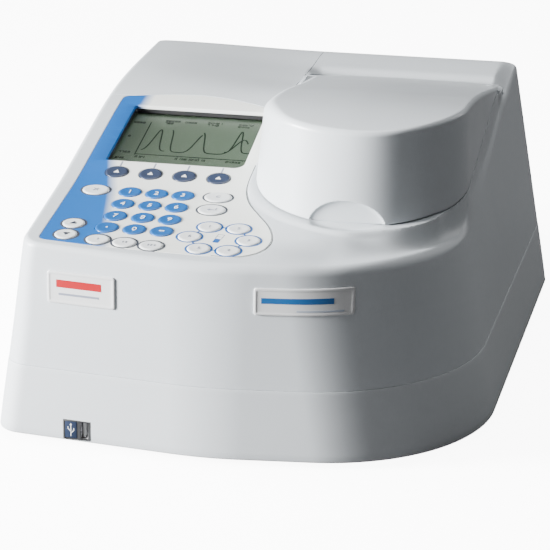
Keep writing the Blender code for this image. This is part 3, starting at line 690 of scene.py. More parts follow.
def ink(name, color, rough=0.4):
    return plastic(name, color, rough=rough, grain=0.05)


def metal(name, color, rough, stretch, metallic=1.0):
    """Metal with streaks; stretch scales the streak pattern along x, y and z."""
    m = Mat(name)
    mapping = m.node("ShaderNodeMapping")
    m.put(mapping.inputs["Vector"], m.place)
    mapping.inputs["Scale"].default_value = stretch
    streak = m.noise(scale=9.0, detail=4.0, rough=0.6, vector=mapping.outputs["Vector"])
    blot = m.noise(scale=60.0, detail=4.0, rough=0.6)
    tone = m.mix(m.ramp(streak, to=(0.0, 0.5)), color, scaled(color, 0.78))
    return m.finish(color=tone, metal=metallic, rough=m.ramp(blot, to=(rough - 0.07, rough + 0.1)),
                    normal=m.bump(streak, strength=0.15, distance=0.0001))


def board_material():
    """Circuit board: green with paler cell borders."""
    m = Mat("circuit_board")
    cells = m.node("ShaderNodeTexVoronoi", feature="DISTANCE_TO_EDGE")
    m.put(cells.inputs["Vector"], m.place)
    cells.inputs["Scale"].default_value = 160.0
    line = m.math("LESS_THAN", cells.outputs["Distance"], 0.03)
    color = m.mix(line, (0.012, 0.09, 0.035, 1), (0.05, 0.20, 0.08, 1))
    return m.finish(color=color, rough=0.35, normal=m.bump(line, strength=0.2, distance=0.00008))


def film_material():
    """Printed film: warm white, with a blue field along the left that ends softly."""
    m = Mat("panel_film")
    x, y, _ = m.split(m.place)
    fine = m.noise(scale=3000.0, detail=2.0, rough=0.6)
    drift = m.noise(scale=12.0)
    # x of the blue field's right limit: it slants in from the front, runs along the screen
    # and steps out behind it
    slant = m.ramp(y, across=(-0.187, -0.108), to=(-0.0795, -0.0955))
    beside = m.ramp(y, across=(-0.108, -0.066), to=(0.0, -0.0115))
    limit = m.math("ADD", slant, beside)
    behind = m.ramp(y, across=(0.012, 0.016))
    limit = m.math("ADD", limit, m.math("MULTIPLY", behind, 0.0015))
    field = m.ramp(m.math("SUBTRACT", limit, x), across=(-0.0035, 0.0045))
    white = m.mix(m.ramp(drift), (0.79, 0.81, 0.77, 1), (0.82, 0.84, 0.80, 1))
    blue = m.mix(m.ramp(m.math("ADD", x, 0.125), across=(0.0, 0.05)),
                 (0.001, 0.100, 0.36, 1), (0.002, 0.115, 0.40, 1))
    return m.finish(color=m.mix(field, white, blue), rough=m.ramp(drift, to=(0.34, 0.42)),
                    normal=m.bump(fine, strength=0.1, distance=0.00003), spec=0.45)


def lcd_material():
    """Grey-green display with a fine lattice of dots."""
    m = Mat("lcd_glass")
    x, y, _ = m.split(m.place)
    waves = [m.math("ABSOLUTE", m.math("SINE", m.math("MULTIPLY", along, 5600.0)))
             for along in (x, y)]
    dots = m.math("MULTIPLY", *[m.math("GREATER_THAN", wave, 0.16) for wave in waves])
    base = m.mix(m.ramp(m.noise(scale=14.0)), (0.112, 0.152, 0.104, 1), (0.128, 0.173, 0.120, 1))
    color = m.mix(m.ramp(dots, across=(0.0, 1.0), to=(0.10, 0.0)), base, (0.10, 0.14, 0.09, 1))
    return m.finish(color=color, rough=0.28, spec=0.5)


def window_material():
    m = Mat("clear_window")
    dust = m.noise(scale=70.0, detail=5.0, rough=0.7)
    return m.finish(color=(0.95, 0.97, 0.96, 1), trans=1.0, ior=1.12, spec=0.35,
                    rough=m.ramp(dust, across=(0.4, 0.7), to=(0.03, 0.09)))


def lcd_ink_material():
    m = Mat("lcd_ink")
    return m.finish(color=(0.010, 0.018, 0.012, 1), spec=0.1,
                    rough=m.ramp(m.noise(scale=900.0), to=(0.5, 0.6)))


MAT_SHELL = plastic("moulded_shell", (0.575, 0.612, 0.64), rough=0.44, grain=0.28, wear=0.25)
MAT_TRAY = plastic("moulded_tray", (0.59, 0.625, 0.65), rough=0.46, grain=0.3, wear=0.2)
MAT_LID = plastic("moulded_lid", (0.575, 0.612, 0.64), rough=0.34, grain=0.16, wear=0.15,
                  spec=0.55)
MAT_DARK = plastic("dark_moulding", (0.035, 0.036, 0.038), rough=0.5, grain=0.5,
                   grain_scale=1800.0, wear=0.4, wear_color=(0.10, 0.10, 0.10, 1))
# screen gasket: black, and set darker than the other dark plastic so it also paints the shade
# inside the screen recess
MAT_GASKET_AND_SHADE = plastic("screen_gasket_and_shade", (0.006, 0.006, 0.007), rough=0.6, grain=0.3)
MAT_RUBBER = plastic("foot_rubber", (0.02, 0.02, 0.021), rough=0.8, grain=0.8, grain_scale=900.0)
MAT_BADGE = plastic("badge_plate", (0.66, 0.67, 0.675), rough=0.3, grain=0.08, coat=0.3)
MAT_SLATE = plastic("key_slate", (0.020, 0.032, 0.068), rough=0.33, grain=0.12, coat=0.25)
MAT_BLUE = plastic("key_blue", (0.001, 0.095, 0.33), rough=0.33, grain=0.12, coat=0.25)
MAT_WHITE = plastic("key_white", (0.74, 0.765, 0.77), rough=0.36, grain=0.12, coat=0.2)
INK_BLUE = ink("ink_blue", (0.001, 0.09, 0.34))
INK_WHITE = ink("ink_white", (0.86, 0.88, 0.88))
INK_DARK = ink("ink_dark", (0.03, 0.035, 0.05), rough=0.45)
INK_GREY = ink("ink_grey", (0.22, 0.24, 0.30), rough=0.45)
MARK_RED = ink("mark_red", (0.38, 0.004, 0.010))
MARK_BLUE = ink("mark_blue", (0.012, 0.10, 0.30))
INK_PALE = ink("ink_pale", (0.42, 0.47, 0.55))
# painted gap shade: a dark ink for the rings round the white and slate keys and for the line along
# the film's right edge, standing in for the shadow in the gaps beside them
PAINTED_GAP_SHADE = ink("painted_gap_shade", (0.055, 0.062, 0.08), rough=0.45)
MAT_CAST = metal("cast_aluminium", (0.52, 0.53, 0.55, 1), rough=0.42,
                 stretch=(40.0, 40.0, 40.0), metallic=0.9)
MAT_STEEL = metal("ground_steel", (0.55, 0.55, 0.57, 1), rough=0.22, stretch=(2.0, 400.0, 400.0))
MAT_BOARD = board_material()
MAT_FILM = film_material()
MAT_LCD = lcd_material()
MAT_WINDOW = window_material()
MAT_LCD_INK = lcd_ink_material()


# ---------------------------------------------------------------------------
# housing and access cover
# ---------------------------------------------------------------------------
def edge_heights():
    """Height at which the wall meets the deck, for each point of the plan."""
    z = rim(plan(140.0)[:, 1]) - 10.0
    for _ in range(40):
        points = plan_at(z)
        z = 0.7 * z + 0.3 * deck(points[:, 0], points[:, 1])
    return z


def even_out(values, passes):
    """Averages each value of a loop with its neighbours, many times over."""
    for _ in range(passes):
        values = (values + np.roll(values, 1) + np.roll(values, -1)) / 3
    return values


def edge_fillet(x, y):
    """Fillet radius round the top edge: soft in front, tighter on the sides and rear."""
    fillet = np.where(y > 190, 3.5, np.where(x > 0, 5.0, 5.5))
    fillet = np.where(y < -120, 6.0, fillet)
    fillet = np.where((y < -150) & (x < -70), 3.0, fillet)
    fillet = np.where((x < -100) & (y < 60), 3.2, fillet)
    fillet = np.where((x > 100) & (y > -112) & (y < 112), 2.2, fillet)
    return even_out(fillet, 260)


def housing_skin():
    edge_z = edge_heights()
    edge = plan_at(edge_z)
    inward = np.array([58.0, -35.0]) - edge       # the deck's rings close on this point
    dist = np.hypot(inward[:, 0], inward[:, 1])
    inward /= dist[:, None]
    fillet = edge_fillet(edge[:, 0], edge[:, 1])
    rings = []
    for k in range(15):
        z = BELT_Z + 0.15 + (edge_z - fillet - BELT_Z - 0.15) * k / 15
        rings.append(np.column_stack([plan_at(z), z]))
    # fillet between wall and deck: a weighted curve, close to a true arc
    low = edge_z - fillet
    start = np.column_stack([plan_at(low), low])
    pull = np.column_stack([edge, edge_z])
    end = lift(edge + inward * fillet[:, None], deck)
    weight = 0.78
    for k in range(11):
        t = k / 10
        total = (1 - t) ** 2 + 2 * weight * t * (1 - t) + t * t
        rings.append(((1 - t) ** 2 * start + 2 * weight * t * (1 - t) * pull + t * t * end) / total)
    inner = dist - 2.0
    for k in range(1, 104):
        s = k / 103
        reach = fillet + (inner - fillet) * (0.55 * s + 0.45 * s * s)
        rings.append(lift(edge + inward * reach[:, None], deck))
    return mesh_object("housing_shell", np.vstack(rings),
                       ring_faces(len(rings), N_PLAN, last=True))


def cover_region(gap, z0):
    """Prism over the access cover; its front follows the arched rear of the keypad film."""
    front = offset(PANEL, 0.35)
    front = front[(front[:, 1] > 12) & (front[:, 0] > -118.5)]
    front = front[np.argsort(front[:, 0])]
    front[:, 1] += gap + 0.3
    right = -10.0 - gap
    front = front[front[:, 0] < right - 0.5]
    left_y, right_y = front[0, 1], front[-1, 1] - 0.2
    points = np.vstack([[(-210, left_y), (-160, left_y)], front,
                        [(right, right_y), (right, 230), (-210, 230)]])
    return prism(points, z0, 240)


shell = housing_skin()
solidify(shell, WALL)
fix_normals(shell)
cover = new_object("access_cover_shell", shell.data.copy())
boolean(cover, [cover_region(0.5, 160.3)], "INTERSECT")
boolean(shell, [cover_region(0.0, 160.0)])
for part in (shell, cover):
    boolean(part, [lipped_cutter(offset(PANEL, 0.3), deck)])

# opening under the lid: a ledge in front, full width behind
ledge = dense(lid_outline(-10.5, 122), 1.5)
lid_slot = lid_back(0.45)
lid_slot = lid_slot[lid_slot[:, 1] > 117]
boolean(shell, [lipped_cutter(ledge, deck, depth=40, lip=0.8), prism(lid_slot, 150, 230)])
# wide opening in the rear wall
boolean(shell, [box("cutter", (-110, 190, 62), (110, 210, 156))])
for part in (shell, cover):
    finish(part, MAT_SHELL, 32)
place(shell, "chassis", "upper_housing")
place(cover, "access_cover", "access_cover")

# ---------------------------------------------------------------------------
# tray
# ---------------------------------------------------------------------------
USB = (-106.5, -88.0, 5.2, 18.6)     # left, right, bottom and top of the socket block
# (z, inset from the plan), from the underside up to the turned-in edge at the belt
TRAY_LEVELS = [(BOTTOM_Z, 6.0), (BOTTOM_Z, 2.6), (BOTTOM_Z + 0.25, 1.3), (BOTTOM_Z + 0.9, 0.4),
               (BOTTOM_Z + 2.0, 0.0)]
TRAY_LEVELS += [(z, -0.2 * ease(z, BOTTOM_Z, 20.0)) for z in np.linspace(10, 46, 10)]
TRAY_LEVELS += [(49.0, -0.2), (51.3, -0.19), (51.75, -0.1), (51.88, 0.1), (51.9, 1.2)]

tray = mesh_object("tray_shell",
                   np.vstack([lift(offset(plan(z), -inset), z) for z, inset in TRAY_LEVELS]),
                   ring_faces(len(TRAY_LEVELS), N_PLAN, first=True))
solidify(tray, WALL)
fix_normals(tray)
# opening for the socket in front, and six slots through the bottom
boolean(tray, [box("cutter", (USB[0] - 0.3, -215, USB[2] - 0.3),
                   (USB[1] + 0.3, -180, USB[3] + 0.3))] +
        [box("cutter", (30 + 12 * i, 70, 0), (35 + 12 * i, 130, 12), bevel=1.5)
         for i in range(6)])
finish(tray, MAT_TRAY, 32)
place(tray, "chassis", "base_tray")


# ---------------------------------------------------------------------------
# lid
# ---------------------------------------------------------------------------
def finger_recess(x, z):
    """How far the finger recess sets the wall back."""
    across = (x - FINGER_X) / 24.8
    above = (z - 141.0) / 18.5
    inside = np.clip(1 - across * across - np.clip(above, -0.1, 10) ** 2, 0, 1)
    return 5.6 * inside ** 0.62 * ease(inside, 0, 0.04)


def lid_skin():
    """Wall with a finger recess, a tight shoulder and a softly crowned top."""
    base = lid_back(0.0, arc_n=300, side_n=110)
    x, y = base[:, 0], base[:, 1]
    # lower edge: just over the deck, and sunk into the housing at the rear
    deck_z = deck(x, y)
    rear = ease(y, 112, 8)
    low = (deck_z + 1.0) * (1 - rear) + np.minimum(164.0, deck_z - 4) * rear
    low = np.where((y < FINGER_REAR_Y) & (np.abs(x - FINGER_X) < 25),
                   np.maximum(low, console(y) + 2.1), low)
    lean = even_out(np.where(x < LID_X, 4.2, 2.4) * (1 - ease(y, 40, 70)), 400)
    radius = even_out(np.where(x < 10, 8.0, np.where(x < 90, 3.6, 2.8)), 300)
    out = outward(unit(np.roll(base, -1, 0) - np.roll(base, 1, 0)))
    rings = []
    wall_top = crown(x, y) - radius
    for k in range(72):
        s = k / 72
        s = s * s * 0.45 + s * 0.55
        z = low + (wall_top - low) * s
        edge_in = 0.45 * np.clip(1 - (z - low) / 0.8, 0, 1) ** 2
        back = edge_in + np.where(y < FINGER_REAR_Y, finger_recess(x, z), 0.0) + lean * s
        rings.append(np.column_stack([base - out * back[:, None], z]))
    for k in range(11):
        a = math.pi / 2 * k / 10
        points = base - out * (lean + radius * (1 - math.cos(a)))[:, None]
        z = crown(points[:, 0], points[:, 1]) - radius * (1 - math.sin(a))
        rings.append(np.column_stack([points, z]))
    # the top closes towards a point on the lid's middle line
    shoulder = rings[-1][:, :2]
    goal = np.array([LID_X, 10.0])
    for k in range(1, 61):
        s = k / 60
        rings.append(lift(shoulder + (goal - shoulder) * (s * 0.99), crown))
    return mesh_object("lid_shell", np.vstack(rings),
                       ring_faces(len(rings), len(base), last=True))


HINGE_Y, HINGE_Z = 131.5, 169.5
KNUCKLES_X = (36, 85)                      # left ends
KNUCKLE = [(0.01, 0), (3.2, 0), (3.4, 0.2), (3.4, 5.8), (3.2, 6.0), (0.01, 6.0)]
PIN_HOLE_R = 1.75

lid = lid_skin()
fix_normals(lid)
solidify(lid, LID_WALL)
fix_normals(lid)
# knuckles that carry the lid on the pin, each with a web up to the top
for x in KNUCKLES_X:
    knuckle = turned("knuckle", KNUCKLE, (x, HINGE_Y, HINGE_Z), "X", n=40)
    web = box("web", (x, HINGE_Y - 2.4, HINGE_Z), (x + 6, HINGE_Y + 1.6, HINGE_Z + 5.0))
    boolean(lid, [knuckle, web], "UNION")
for x in KNUCKLES_X:
    boolean(lid, [turned("cutter", [(PIN_HOLE_R, 0), (PIN_HOLE_R, 10)],
                         (x - 2, HINGE_Y, HINGE_Z), "X", n=40)])
# notches in the rear wall, which swings past the pin's two brackets
boolean(lid, [box("cutter", (left, 126.6, 150), (right, 141, 172.4))
              for left, right in ((28.0, 34.2), (92.8, 99.2))])


def lid_liner():
    """Sloping plate inside the lid, set back round the finger recess."""
    outline = lid_outline(-3.6, 24, arc_n=200, side_n=40)
    x, y = outline[:, 0], outline[:, 1]
    outline[:, 1] += 8.0 * np.clip(1 - ((x - FINGER_X) / 30) ** 2, 0, 1) ** 0.6 * (y < -95)
    # (offset, height at y = -135)
    levels = ((-0.5, 148), (0.0, 148.5), (0.0, 149.8), (-0.4, 150.2))
    rings = [lift(offset(outline, grow), lambda x, y: height + 0.213 * (y + 135))
             for grow, height in levels]
    return loft_object("lid_liner_plate", rings, MAT_DARK)


place(lid_liner(), "lid", "lid_liner")
finish(lid, MAT_LID, 34)
place(lid, "lid", "sample_lid")

# ---------------------------------------------------------------------------
# keypad film
# ---------------------------------------------------------------------------
ROW_Y = [-108.3 - KEY_PITCH * i for i in range(3)] + [-161.0]
COL_X = [-84.0, -84.0 + KEY_PITCH, -84.0 + 2 * KEY_PITCH - 0.2]
SOFT_X, SOFT_PITCH = -100.2, 23.1
CELL_X, CELL_Y = -11.6, -165.4            # middle of the ring of six cell keys
# keys: name, x, y, half width, half depth, kind, glyph
KEYS = [(f"key_soft_{i + 1}", SOFT_X + SOFT_PITCH * i, -81.6, 7.6, 7.6, "slate", "tri")
        for i in range(4)]
KEYS += [(f"key_{i + 1}", COL_X[i % 3], ROW_Y[i // 3], 7.5, 7.3, "blue", str(i + 1))
         for i in range(9)]
KEYS += [("key_" + word, x - 1, ROW_Y[3], 7.5, 7.3, "blue", glyph)
         for word, x, glyph in zip(("point", "0", "minus"), COL_X, ".0-")]
KEYS += [("key_esc", -107.0, -108.3, 8.9, 7.2, "white", "cross"),
         ("key_clear", -25.3, -107.3, 8.9, 7.2, "white", "C"),
         ("key_enter", -25.3, -126.0, 8.9, 7.2, "white", "enter"),
         ("key_up", -107.5, -158.4, 7.2, 6.4, "white", "up"),
         ("key_down", -108.0, -174.2, 7.2, 6.4, "white", "down")]
KEYS += [(f"key_fn_{i + 1}", -86.2 + 17.6 * i, -178.2 - 1.6 * i, 7.5, 6.3, "white", f"F{i + 1}")
         for i in range(3)]
KEYS += [(f"key_cell_{k + 1}", CELL_X + 18.8 * math.cos(math.radians(120 - 60 * k)),
          CELL_Y + 17.6 * math.sin(math.radians(120 - 60 * k)), 7.3, 6.6, "white", str(k + 1))
         for k in range(6)]
FILM_RISE = 0.05                          # top of the film above the console


def key_frame(x, y):
    """Matrix from key space (x right, y up the slope, z out of the film) to the object."""
    tilt = math.atan(float(slope(y)))
    return Matrix.Translation((x, y, float(console(y)))) @ Matrix.Rotation(tilt, 4, "X")


def screen_outline(grow=0.0):
    """Screen opening: nearly square corners except the front right one."""
    x0, y0, x1, y1 = SCREEN
    arcs = corner_arcs(x0 - grow, y0 - grow, x1 + grow, y1 + grow,
                       (1.2, 1.2, 1.5, 7.0), (5, 5, 5, 14))
    return dense(np.vstack(arcs), 0.8)


def key_hole(x, y, half_x, half_y):
    """Cutter round a key, a little wider at the surface."""
    matrix = key_frame(x, y)
    rings = []
    # (height, clearance)
    for height, gap in ((-6, 0.22), (-0.3, 0.22), (-0.1, 0.3), (0.0, 0.42), (4, 0.42)):
        points = ellipse(half_x + gap, half_y + gap, height, 56).tolist()
        rings.append(np.array([tuple(matrix @ Vector(p)) for p in points]))
    return loft_object("cutter", rings)


def keypad_film():
    ys = np.arange(-200, 45 + 2.5, 2.5)
    section = np.array([(y, console(y) + FILM_RISE) for y in ys] +
                       [(y, console(y) - 2.2) for y in ys[::-1]])
    film = loft_object("keypad_film", [np.column_stack([np.full(len(section), x), section])
                                       for x in (-150.0, 50.0)])
    boolean(film, [prism(PANEL, 60, 230)], "INTERSECT")
    boolean(film, [lipped_cutter(screen_outline(), lambda x, y: console(y) + FILM_RISE,
                                 lip=0.5, top=6)])
    boolean(film, [key_hole(*key[1:5]) for key in KEYS])
    finish(film, MAT_FILM, 32)
    return film


place(keypad_film(), "chassis", "keypad_panel")


# ---------------------------------------------------------------------------
# keys
# ---------------------------------------------------------------------------
def text_mesh(text, size):
    """A raised character, centred on its own box."""
    curve = bpy.data.curves.new("t", "FONT")
    curve.body = text
    curve.size = size
    curve.align_x, curve.align_y = "CENTER", "CENTER"
    curve.extrude = 0.13
    curve.resolution_u = 6
    ob = new_object("t", curve)
    context.view_layer.update()
    mesh = bpy.data.meshes.new_from_object(ob.evaluated_get(context.evaluated_depsgraph_get()))
    bpy.data.objects.remove(ob, do_unlink=True)
    points = np.empty(len(mesh.vertices) * 3)
    mesh.vertices.foreach_get("co", points)
    points = points.reshape(-1, 3)
    mid = (points.min(0) + points.max(0)) / 2
    mesh.transform(Matrix.Translation((-mid[0], -mid[1], 0)))
    return mesh


def raise_polys(polys, low, high):
    """Solids from 2D outlines between two heights, each a function of y."""
    bm = bmesh.new()
    for poly in polys:
        bottom = [bm.verts.new((p[0], p[1], low(p[1]))) for p in poly]
        top = [bm.verts.new((p[0], p[1], high(p[1]))) for p in poly]
        n = len(poly)
        bm.faces.new(top)
        bm.faces.new(bottom[::-1])
        for i in range(n):
            j = (i + 1) % n
            bm.faces.new((bottom[i], bottom[j], top[j], top[i]))
    return bm


def flat_mesh(polys, depth):
    """Thin shapes that reach depth below and above z = 0."""
    bm = raise_polys(polys, lambda y: -depth, lambda y: depth)
    bmesh.ops.recalc_face_normals(bm, faces=bm.faces)
    mesh = bpy.data.meshes.new("f")
    bm.to_mesh(mesh)
    bm.free()
    return mesh


def bar(x0, y0, x1, y1, width):
    """Outline of a straight stroke."""
    along = np.array([x1 - x0, y1 - y0], float)
    along /= np.linalg.norm(along)
    side = np.array([-along[1], along[0]]) * width / 2
    a, b = np.array([x0, y0]), np.array([x1, y1])
    return [tuple(a - side), tuple(b - side), tuple(b + side), tuple(a + side)]


GLYPHS = {
    "tri": [[(-1.9, -1.5), (1.9, -1.5), (0, 1.9)]],
    "up": [[(-2.3, -1.6), (2.3, -1.6), (0, 1.9)]],
    "down": [[(-2.3, 1.6), (0, -1.9), (2.3, 1.6)]],
    "-": [bar(-1.7, 0, 1.7, 0, 0.75)],
    ".": [[(0.6 * math.cos(t), 0.6 * math.sin(t))
           for t in np.linspace(0, 2 * np.pi, 18, endpoint=False)]],
    "cross": [bar(-1.6, -1.6, 1.6, 1.6, 0.6), bar(-1.6, 1.6, -0.25, 0.25, 0.6),
              bar(0.25, -0.25, 1.6, -1.6, 0.6)],
    "enter": [bar(-1.2, -0.8, 3.0, -0.8, 0.6), bar(2.7, -0.5, 2.7, 1.9, 0.6),
              [(-3.2, -0.8), (-1.2, -2.1), (-1.2, 0.5)]],
}
# the function keys carry one, two and three upright bars
for bars in (1, 2, 3):
    GLYPHS[f"F{bars}"] = [bar(-1.0 * (bars - 1) + 2.0 * i, -1.2,
                              -1.0 * (bars - 1) + 2.0 * i, 1.2, 0.55) for i in range(bars)]
KEY_MATS = {"slate": MAT_SLATE, "blue": MAT_BLUE, "white": MAT_WHITE}
KEY_RISE = 0.95
KEY_ROUND = 1.5                           # width of the rounded edge


def key_body(half_x, half_y, mat):
    """Oval cap with a rounded edge and a softly dished face."""
    n = 72
    profile = [(-3.0, 0.15), (-2.9, 0.0), (0.05, 0.0)]        # (height, inset)
    for k in range(1, 11):
        a = math.pi / 2 * k / 10
        profile.append((0.05 + (KEY_RISE - 0.25) * math.sin(a), KEY_ROUND * (1 - math.cos(a))))
    rings = [ellipse(half_x - inset, half_y - inset, z, n) for z, inset in profile]
    for s in (0.85, 0.7, 0.55, 0.4, 0.25, 0.08):
        rings.append(ellipse((half_x - KEY_ROUND) * s, (half_y - KEY_ROUND) * s,
                             KEY_RISE - 0.2 - 0.16 * (1 - s * s), n))
    mesh = new_mesh("key", np.vstack(rings), ring_faces(len(rings), n, first=True, last=True))
    mesh.materials.append(mat)
    body = new_object("key_body", mesh)
    fix_normals(body)
    shade(body, 40)
    return body


def key_glyph(kind, glyph):
    if glyph in GLYPHS:
        mesh = flat_mesh(GLYPHS[glyph], 0.13)
    elif kind == "blue":
        mesh = text_mesh(glyph, 6.4)
    else:
        mesh = text_mesh(glyph, 4.4 if glyph == "C" else 4.2)
    mesh.transform(Matrix.Translation((0, 0, KEY_RISE - 0.36 + 0.06)))
    mesh.materials.clear()
    if kind != "white":
        mesh.materials.append(INK_WHITE)
    else:
        mesh.materials.append(INK_DARK if glyph in ("up", "down") else INK_GREY)
    return new_object("key_glyph", mesh)


for name, x, y, half_x, half_y, kind, glyph in KEYS:
    cap = merge(name + "_cap", [key_body(half_x, half_y, KEY_MATS[kind]),
                                key_glyph(kind, glyph)])
    cap.data.transform(Matrix.Scale(MM, 4) @ key_frame(x, y))
    shade(cap, 40)
    place(cap, name, name)

# ---------------------------------------------------------------------------
# print on the film, with painted gap shadows round the keys and along the right edge
# ---------------------------------------------------------------------------
PRINT = 0.04                              # half thickness of the print


def ring_mesh(half_x, half_y, width):
    """Flat oval ring."""
    n = 64
    levels = ((0, -PRINT), (0, PRINT), (width, PRINT), (width, -PRINT))
    rings = [ellipse(half_x - inset, half_y - inset, z, n) for inset, z in levels]
    return new_mesh("r", np.vstack(rings), frame_faces(n))


def on_panel(mesh, x, y, mat):
    """Lays a mesh on the film at x, y."""
    matrix = Matrix.Scale(MM, 4) @ key_frame(x, y) @ Matrix.Translation((0, 0, 0.06))
    mesh.transform(matrix)
    mesh.materials.clear()
    mesh.materials.append(mat)
    return new_object("print", mesh)


def cell_ring():
    """Blunt arrowless links between the six cell keys, each bent outwards at its middle."""
    cells = [np.array(key[1:3]) for key in KEYS if key[0].startswith("key_cell")]
    centre = np.array([CELL_X, CELL_Y])
    polys = []
    for i in range(6):
        p, q = cells[i], cells[(i + 1) % 6]
        along = q - p
        along /= np.linalg.norm(along)
        start, end = p + along * 6.9, q - along * 6.9
        bulge = np.array([-along[1], along[0]])
        if (p + q - 2 * centre) @ bulge < 0:
            bulge = -bulge
        mid = (start + end) / 2 + bulge * 0.9
        polys += [bar(*start, *mid, 1.25), bar(*mid, *end, 1.25)]
    return [[(x - CELL_X, y - CELL_Y) for x, y in poly] for poly in polys]


def cell_picture():
    """Small upright cell, slightly tilted: blue liquid and grey glass."""
    liquid = [rounded_rect(-2.0, -6.0, 2.0, -0.6, 0.8)]
    glass = [bar(-2.0, -0.6, -2.0, 5.6, 0.45), bar(2.0, -0.6, 2.0, 5.6, 0.45),
             bar(-2.3, 5.6, 2.3, 5.6, 0.45), bar(-2.0, 2.4, 2.0, 2.4, 0.3)]
    out = []
    for polys, mat in ((liquid, INK_BLUE), (glass, INK_GREY)):
        mesh = flat_mesh(polys, PRINT)
        mesh.transform(Matrix.Rotation(math.radians(-9), 4, "Z"))
        out.append(on_panel(mesh, -12.0, -165.0, mat))
    return out


def painted_gap_shadow_line():
    """Painted gap shadow: a dark line along the S-shaped right edge of the film, where the gap
    beside it falls into shade.
    """
    outer, inner = offset(PANEL, -0.2), offset(PANEL, -0.85)
    verts, faces = [], []
    for i in range(len(PANEL) - 1):
        if not (PANEL[i][1] < -62 and PANEL[i][0] > -12):
            continue
        b = len(verts)
        for height in (0.02, 0.09):
            for x, y in (outer[i], outer[i + 1], inner[i + 1], inner[i]):
                verts.append((x, y, float(console(y)) + height))
        faces += [(b + 4, b + 5, b + 6, b + 7), (b + 3, b + 2, b + 1, b),
                  (b, b + 1, b + 5, b + 4), (b + 2, b + 3, b + 7, b + 6)]
    return mesh_object("painted_gap_shadow_line", verts, faces, PAINTED_GAP_SHADE)


# links from the screen to the soft keys
print_and_gap_shade = [on_panel(flat_mesh([bar(0, 0, 0, 6.4, 1.1)], PRINT),
                   SOFT_X + SOFT_PITCH * i + 0.2, -73.6, INK_GREY) for i in range(4)]
print_and_gap_shade.append(on_panel(flat_mesh(cell_ring(), PRINT), CELL_X, CELL_Y, INK_BLUE))
print_and_gap_shade += cell_picture()
# the white keys other than the cell keys get a wide painted gap shadow ring and the slate keys a
# thin one; the cell keys get a printed blue ring
for name, x, y, half_x, half_y, kind, glyph in KEYS:
    if kind == "white":
        color = INK_BLUE if name.startswith("key_cell") else PAINTED_GAP_SHADE
        print_and_gap_shade.append(on_panel(ring_mesh(half_x + 1.55, half_y + 1.55, 1.25), x, y, color))
    elif kind == "slate":
        print_and_gap_shade.append(on_panel(ring_mesh(half_x + 0.8, half_y + 0.8, 0.35), x, y, PAINTED_GAP_SHADE))
print_and_gap_shade.append(painted_gap_shadow_line())
# the print and the painted gap shadows, merged into one object
place(merge("panel_print_and_gap_shade", print_and_gap_shade), "chassis")


# ---------------------------------------------------------------------------
# screen
# ---------------------------------------------------------------------------
def screen_plane(y, drop):
    """Height of a flat plane under the screen opening, a drop below the console's chord."""
    z0, z1 = float(console(SCREEN[1])), float(console(SCREEN[3]))
    return z0 + (z1 - z0) * (np.asarray(y, float) - SCREEN[1]) / (SCREEN[3] - SCREEN[1]) - drop


def screen_sheet(name, grow, top, bottom, mat):
    """Sheet between two drops, larger than the screen by grow on every side."""
    x0, y0, x1, y1 = SCREEN
    outline = rounded_rect(x0 - grow, y0 - grow, x1 + grow, y1 + grow, 1.0)
    return loft_object(name, [lift(outline, lambda x, y: screen_plane(y, drop))
                              for drop in (bottom, top)], mat)


def screen_gasket_and_shade():
    """Black band between the film and the window: a gasket whose near-black tone also stands in for
    painted shade inside the screen's recess.
    """
    inner, outer = screen_outline(0.15), screen_outline(2.6)
    n = len(inner)
    outer = read_line(closed(outer), np.arange(len(outer) + 1),
                      np.linspace(0, len(outer), n, endpoint=False))

    def bottom(x, y):
        return screen_plane(y, 5.1)

    def top(x, y):
        return console(y) - 2.35

    rings = [lift(outer, bottom), lift(outer, top), lift(inner, top), lift(inner, bottom)]
    ob = mesh_object("screen_gasket_and_shade", np.vstack(rings), frame_faces(n), MAT_GASKET_AND_SHADE)
    fix_normals(ob)
    shade(ob, 40)
    return ob


place(screen_sheet("display_pane", 3, 5.2, 6.2, MAT_WINDOW), "chassis",
      "display_window")
place(screen_sheet("lcd_panel", 5, 6.6, 14.5, MAT_LCD), "chassis", "lcd_module")
place(screen_gasket_and_shade(), "chassis")

# strokes lit for each digit; the strokes are listed in figures()
SEVEN = [(0, 1, 2, 3, 4, 5), (1, 2), (0, 1, 6, 4, 3), (0, 1, 6, 2, 3), (5, 6, 1, 2),
         (0, 5, 6, 2, 3), (0, 5, 4, 3, 2, 6), (0, 1, 2), (0, 1, 2, 3, 4, 5, 6),
         (0, 1, 2, 3, 5, 6)]
# graph area, from the screen's front left corner: left, bottom, right, top
GRAPH = (14.0, 22.5, 90.0, 68.0)
# rows of figures on the screen: x, y, number of digits
READINGS = [(24, 70.5, 5), (24, 67.2, 3), (38, 70.0, 4), (54, 71.0, 5), (54, 68.0, 4),
            (76, 71.0, 5), (76, 68.0, 4), (2, 66, 4), (3, 46, 1), (2, 23.5, 4), (18, 17.8, 2),
            (15, 18.0, 1), (43, 18.2, 10), (78, 18.4, 5), (2, 15.2, 3)]


def stroke_line(points, width):
    return [bar(*p, *q, width) for p, q in zip(points, points[1:])]


